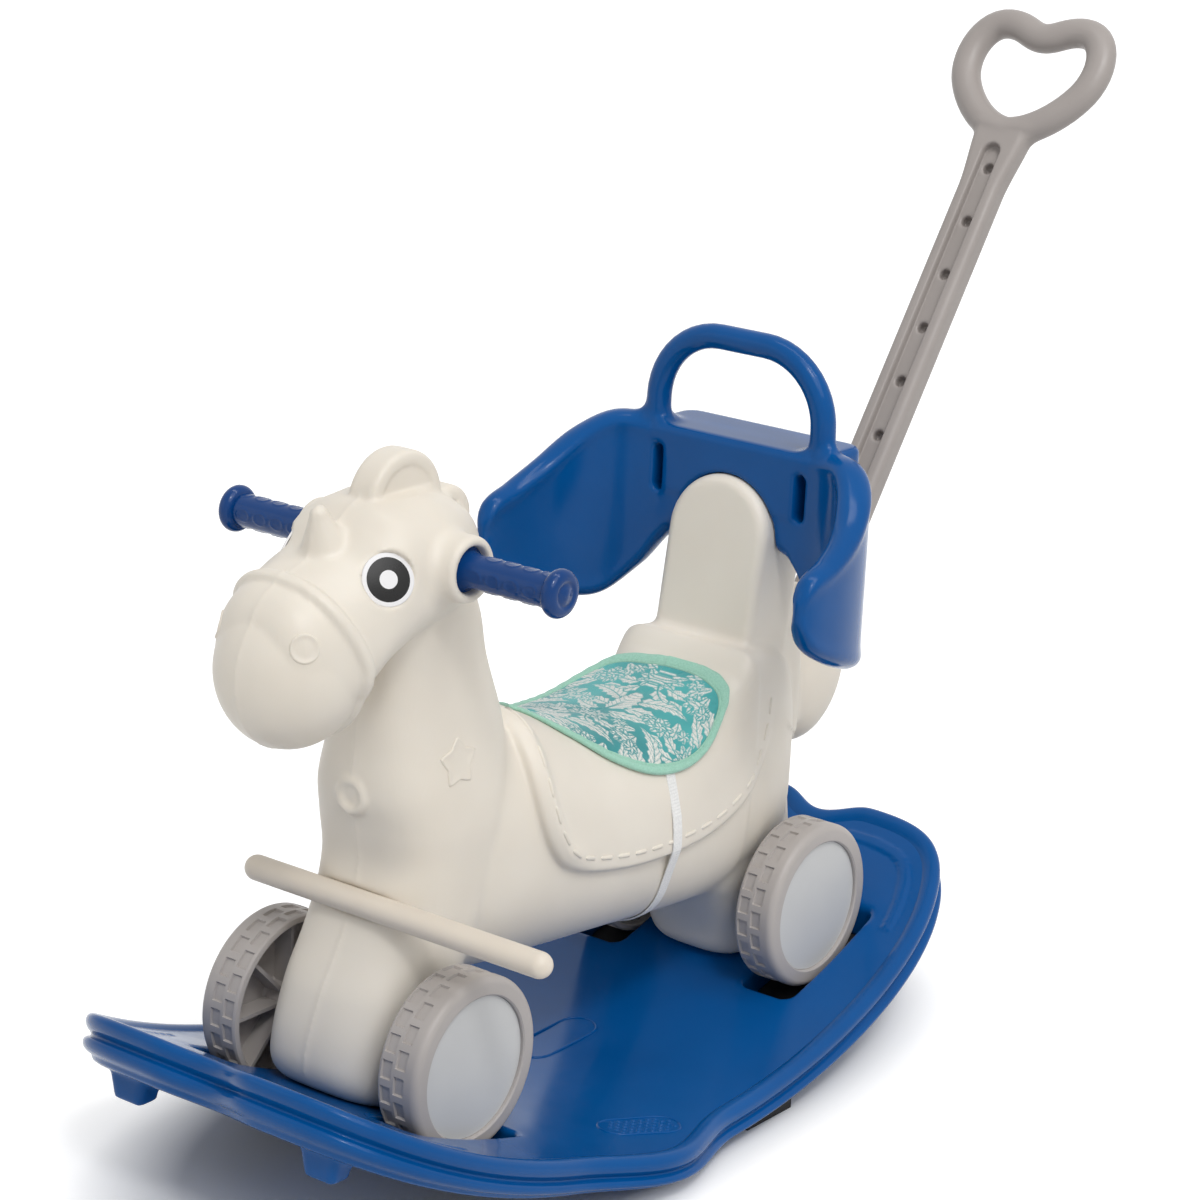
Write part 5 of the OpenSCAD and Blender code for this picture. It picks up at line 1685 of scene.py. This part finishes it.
def brocade_material():
    look = new_look("brocade")
    figure = look.add("Attribute", "Fac", {}, attribute_name="figure")
    ground = look.cloud(14.0, 2.0, linear(34, 128, 132), linear(74, 172, 170))
    silver = look.cloud(900.0, 3.0, linear(192, 194, 188), linear(238, 236, 228))
    return look.dress({
        "Base Color": look.mix(figure, ground, silver),
        "Normal": look.bump(look.wave(420.0, 0.8), 0.35, THREAD_DEPTH),
        "Roughness": look.ramp(figure, 0.7, 0.42, 0.0, 1.0),
        "Sheen Weight": 0.3,
    })


def ripple(turn, waves, wander, slow):
    """Uneven waves once round."""
    return np.sin(waves * turn + wander * np.sin(slow * turn))


PAD_SPOKES = 360
PAD_SHARES = np.concatenate([np.linspace(0.01, 0.9, 112), np.linspace(0.91, 1, 14)])
PAD_UNDER = np.linspace(1, 0.01, 8)
PUCKER_RISE = 0.3
PUCKER_WAVES = (64, 1.3, 5)
PUCKER_FADE = ((0.86, 0.95), (1.0, 0.96))
FIGURE_RISE = 0.45


def make_pad():
    flat = pad_flat(PAD_SPOKES, PAD_SHARES)
    figure = brocade(flat[..., 1], flat[..., 0])
    rise = spread(puff(), PAD_SHARES, PAD_SPOKES)
    near_rim = np.prod([smooth_step(*fade, PAD_SHARES) for fade in PUCKER_FADE], axis=0)
    pucker = PUCKER_RISE * near_rim[:, None] * ripple(once_round(flat.shape[1]), *PUCKER_WAVES)[None]
    top = on_rings(flat, thin_crown(PAD_SHARES) + rise + pucker + FIGURE_RISE * figure)
    under = on_rings(pad_flat(PAD_SPOKES, PAD_UNDER), PAD_LIFT)
    shell = pad_shell(top, under)
    pad = new_piece("seat_pad_cover", shell, "horse", "pad_fabric", brocade_material(), "seat_pad")
    threads = pad.data.attributes.new("figure", "FLOAT", "POINT")
    threads.data.foreach_set("value", np.concatenate([figure.ravel(), np.zeros(under[..., 0].size)]))


make_pad()

# Binding: a tape folded over the pad's edge and sewn; inset from the rim and height on the lift
BIND_SECTION = [
    (9.2, 0), (5, 0), (0.8, 0.1), (0.1, 0.8), (0, 1.8), (0.4, 2.9), (1.4, 3.6), (3.4, 3.9), (5.4, 3.8),
    (7.0, 3.35), (7.6, 3.15), (8.3, 3.5), (9.0, 3.7), (9.3, 3.2), (9.3, 1.5),
]
CRINKLE_RISE = 0.22
CRINKLE_WAVES = (46, 1.7, 4)
CRINKLE_FROM = 2
SEAM_INSET = 7.5
SEAM_RISE = 3.35
SEAM_LEN = 3.4
SEAM_GAP = 1.3
SEAM_R = 0.32
SEAM_DIVE = 0.35


def make_binding():
    rim = pad_rim(PAD_SPOKES)
    crinkle = CRINKLE_RISE * ripple(once_round(len(rim)), *CRINKLE_WAVES)
    rings = []
    for inset, height in BIND_SECTION:
        lift = PAD_LIFT + height + (crinkle if height > CRINKLE_FROM else 0)
        rings.append(on_rings(pad_centre + inset_rim(rim, inset), lift))
    rings.append(rings[0])
    parts = [(np.vstack(rings), flipped(grid_faces(len(rings), len(rim))))]
    line = on_rings(pad_centre + inset_rim(rim, SEAM_INSET), PAD_LIFT + SEAM_RISE + crinkle)
    marks = run_marks(line)
    for start in np.arange(0, marks[-1] - SEAM_LEN, SEAM_LEN + SEAM_GAP):
        thread = read_line(line, marks, start + SEAM_LEN * np.array((0, 0.3, 0.7, 1)))
        thread[[0, -1], 2] -= SEAM_DIVE
        parts.append(bead_line(thread, SEAM_R, False))
    new_piece("pad_binding_tape", joined(parts), "horse", "binding_fabric", BINDING, "pad_binding")


make_binding()

# Strap: elastic tape drawn tight round the barrel, from one edge of the pad to the other
STRAP_Y = 60
STRAP_HALF = 5.5
STRAP_T = 1.2
STRAP_STEP = 3.0
STRAP_TUCK = 4
STRAP_SINK = 0.3
STRAP_GAP = 0.5
STRAP_MIDDLE = np.array((0, STRAP_Y, AXLE_Z + 95))
STRAP_FROM = 140
STRAP_ANGLES = np.radians(np.arange(75, 286, 2))
STRAP_CREASE = 40
# Across as a share of STRAP_HALF, and height as a share of STRAP_T
STRAP_SECTION = [
    (-1, 0), (-1, 0.7), (-0.94, 1), (-0.5, 0.96), (0, 0.94), (0.5, 0.96), (0.94, 1), (1, 0.7), (1, 0),
]


def turns_right(a, b, c):
    return (b[0] - a[0]) * (c[1] - a[1]) - (b[1] - a[1]) * (c[0] - a[0]) <= 0


def half_hull(points):
    line = []
    for point in points:
        while len(line) > 1 and turns_right(line[-2], line[-1], point):
            line.pop()
        line.append(point)
    return line


def drawn_tight(points, first, last):
    """The outline that a tight tape takes round a set of points, from the first end to the last."""
    ordered = sorted(map(tuple, points))
    hull = half_hull(ordered)[:-1] + half_hull(ordered[::-1])[:-1]
    start = min(range(len(hull)), key=lambda k: math.dist(hull[k], first))
    hull = hull[start:] + hull[:start]
    end = min(range(len(hull)), key=lambda k: math.dist(hull[k], last))
    return np.array(hull[:end + 1])


def make_strap():
    reach = np.array((STRAP_TUCK - PAD_HALF, PAD_HALF - STRAP_TUCK))
    ends = on_pad(np.full(2, float(STRAP_Y)), reach, PAD_LIFT - STRAP_SINK)
    points = [(end[0], end[2] + AXLE_Z) for end in ends]
    for a in STRAP_ANGLES:
        way = np.array((math.sin(a), 0, math.cos(a)))
        place, _ = on_skin(STRAP_MIDDLE + STRAP_FROM * way, -way)
        points.append(tuple((place + STRAP_GAP * way)[[0, 2]]))
    line = drawn_tight(points, points[0], points[1])
    marks = run_marks(line)
    line = read_line(line, marks, np.linspace(0, marks[-1], int(marks[-1] / STRAP_STEP)))
    rings = []
    for place, way in zip(line, right_of(np.gradient(line, axis=0))):
        for side, height in STRAP_SECTION:
            x, z = place + height * STRAP_T * way
            rings.append((x, STRAP_Y + side * STRAP_HALF, z))
    strap = rings, grid_faces(len(line), len(STRAP_SECTION), capped=True)
    new_piece("pad_strap_tape", strap, "horse", "strap_elastic", ELASTIC, "pad_strap", sharp=STRAP_CREASE)


make_strap()


# Light and floor
FLOOR_REACH = 30
FLOOR_GLOW = 0.45
# The floor under the board gets no lift, within an oval of these half sizes in metres
DARK_OVAL = (0.2, 0.42)
WORLD_LIGHT = 0.46
WHITE = (1, 1, 1, 1)


def seen_directly(look):
    """1 for what the camera sees, also in a mirror or through glass."""
    seen = look.add("LightPath", "Is Camera Ray", {})
    for ray in ("Is Glossy Ray", "Is Transmission Ray"):
        seen = look.add("Math", "Value", {0: seen, 1: look.add("LightPath", ray, {})}, operation="MAXIMUM")
    return seen


def add_floor():
    """A pale floor that keeps the shadow; what the camera sees of it is lifted towards white."""
    mesh = bpy.data.meshes.new("floor")
    corners = [(FLOOR_REACH * x, FLOOR_REACH * y, 0) for x, y in ((-1, -1), (1, -1), (1, 1), (-1, 1))]
    mesh.from_pydata(corners, [], [(0, 1, 2, 3)])
    look = new_look("floor_paper")
    oval = look.add("VectorMath", "Vector", {0: look.place(), 1: (*DARK_OVAL, 1)}, operation="DIVIDE")
    away = look.add("VectorMath", "Value", {0: oval}, operation="LENGTH")
    outside = look.ramp(away, 0.0, FLOOR_GLOW, 0.9, 1.2)
    glow = look.add("Math", "Value", {0: seen_directly(look), 1: outside}, operation="MULTIPLY")
    mesh.materials.append(look.dress({
        "Base Color": look.cloud(3.0, 3.0, linear(228, 228, 228), linear(232, 232, 232)),
        "Roughness": 0.9,
        "Emission Color": WHITE,
        "Emission Strength": glow,
    }))
    add_object("floor", mesh)


def add_world():
    world = bpy.data.worlds.new("studio")
    bpy.context.scene.world = world
    look = Look(world)
    strength = look.ramp(seen_directly(look), WORLD_LIGHT, 1.0, 0.0, 1.0)
    look.feed(look.nodes["Background"], {"Color": WHITE, "Strength": strength})


def add_light(name, kind, place, target, energy, **settings):
    """A light that shines from a place to a target, both in metres."""
    data = bpy.data.lights.new(name, kind)
    data.energy = energy
    for setting, value in settings.items():
        setattr(data, setting, value)
    light = add_object(name, data)
    light.location = place
    light.rotation_euler = (Vector(target) - Vector(place)).to_track_quat("-Z", "Y").to_euler()


add_floor()
add_world()
add_light("key", "SUN", (1.25, -0.55, 1.6), (0, 0, 0), 1.1, angle=math.radians(45))
add_light("glint", "SUN", (1.1, -0.75, 1.7), (0, 0, 0), 0.55, angle=math.radians(10))
add_light("fill", "AREA", (-1.6, -2.4, 1.5), (0, 0, 0.3), 3, shape="RECTANGLE", size=1.6, size_y=1.6)
add_light("top", "AREA", (0.5, 0.2, 2.6), (0, 0.1, 0.3), 12, shape="RECTANGLE", size=0.3, size_y=2.4)
bpy.context.scene.view_settings.view_transform = "Standard"
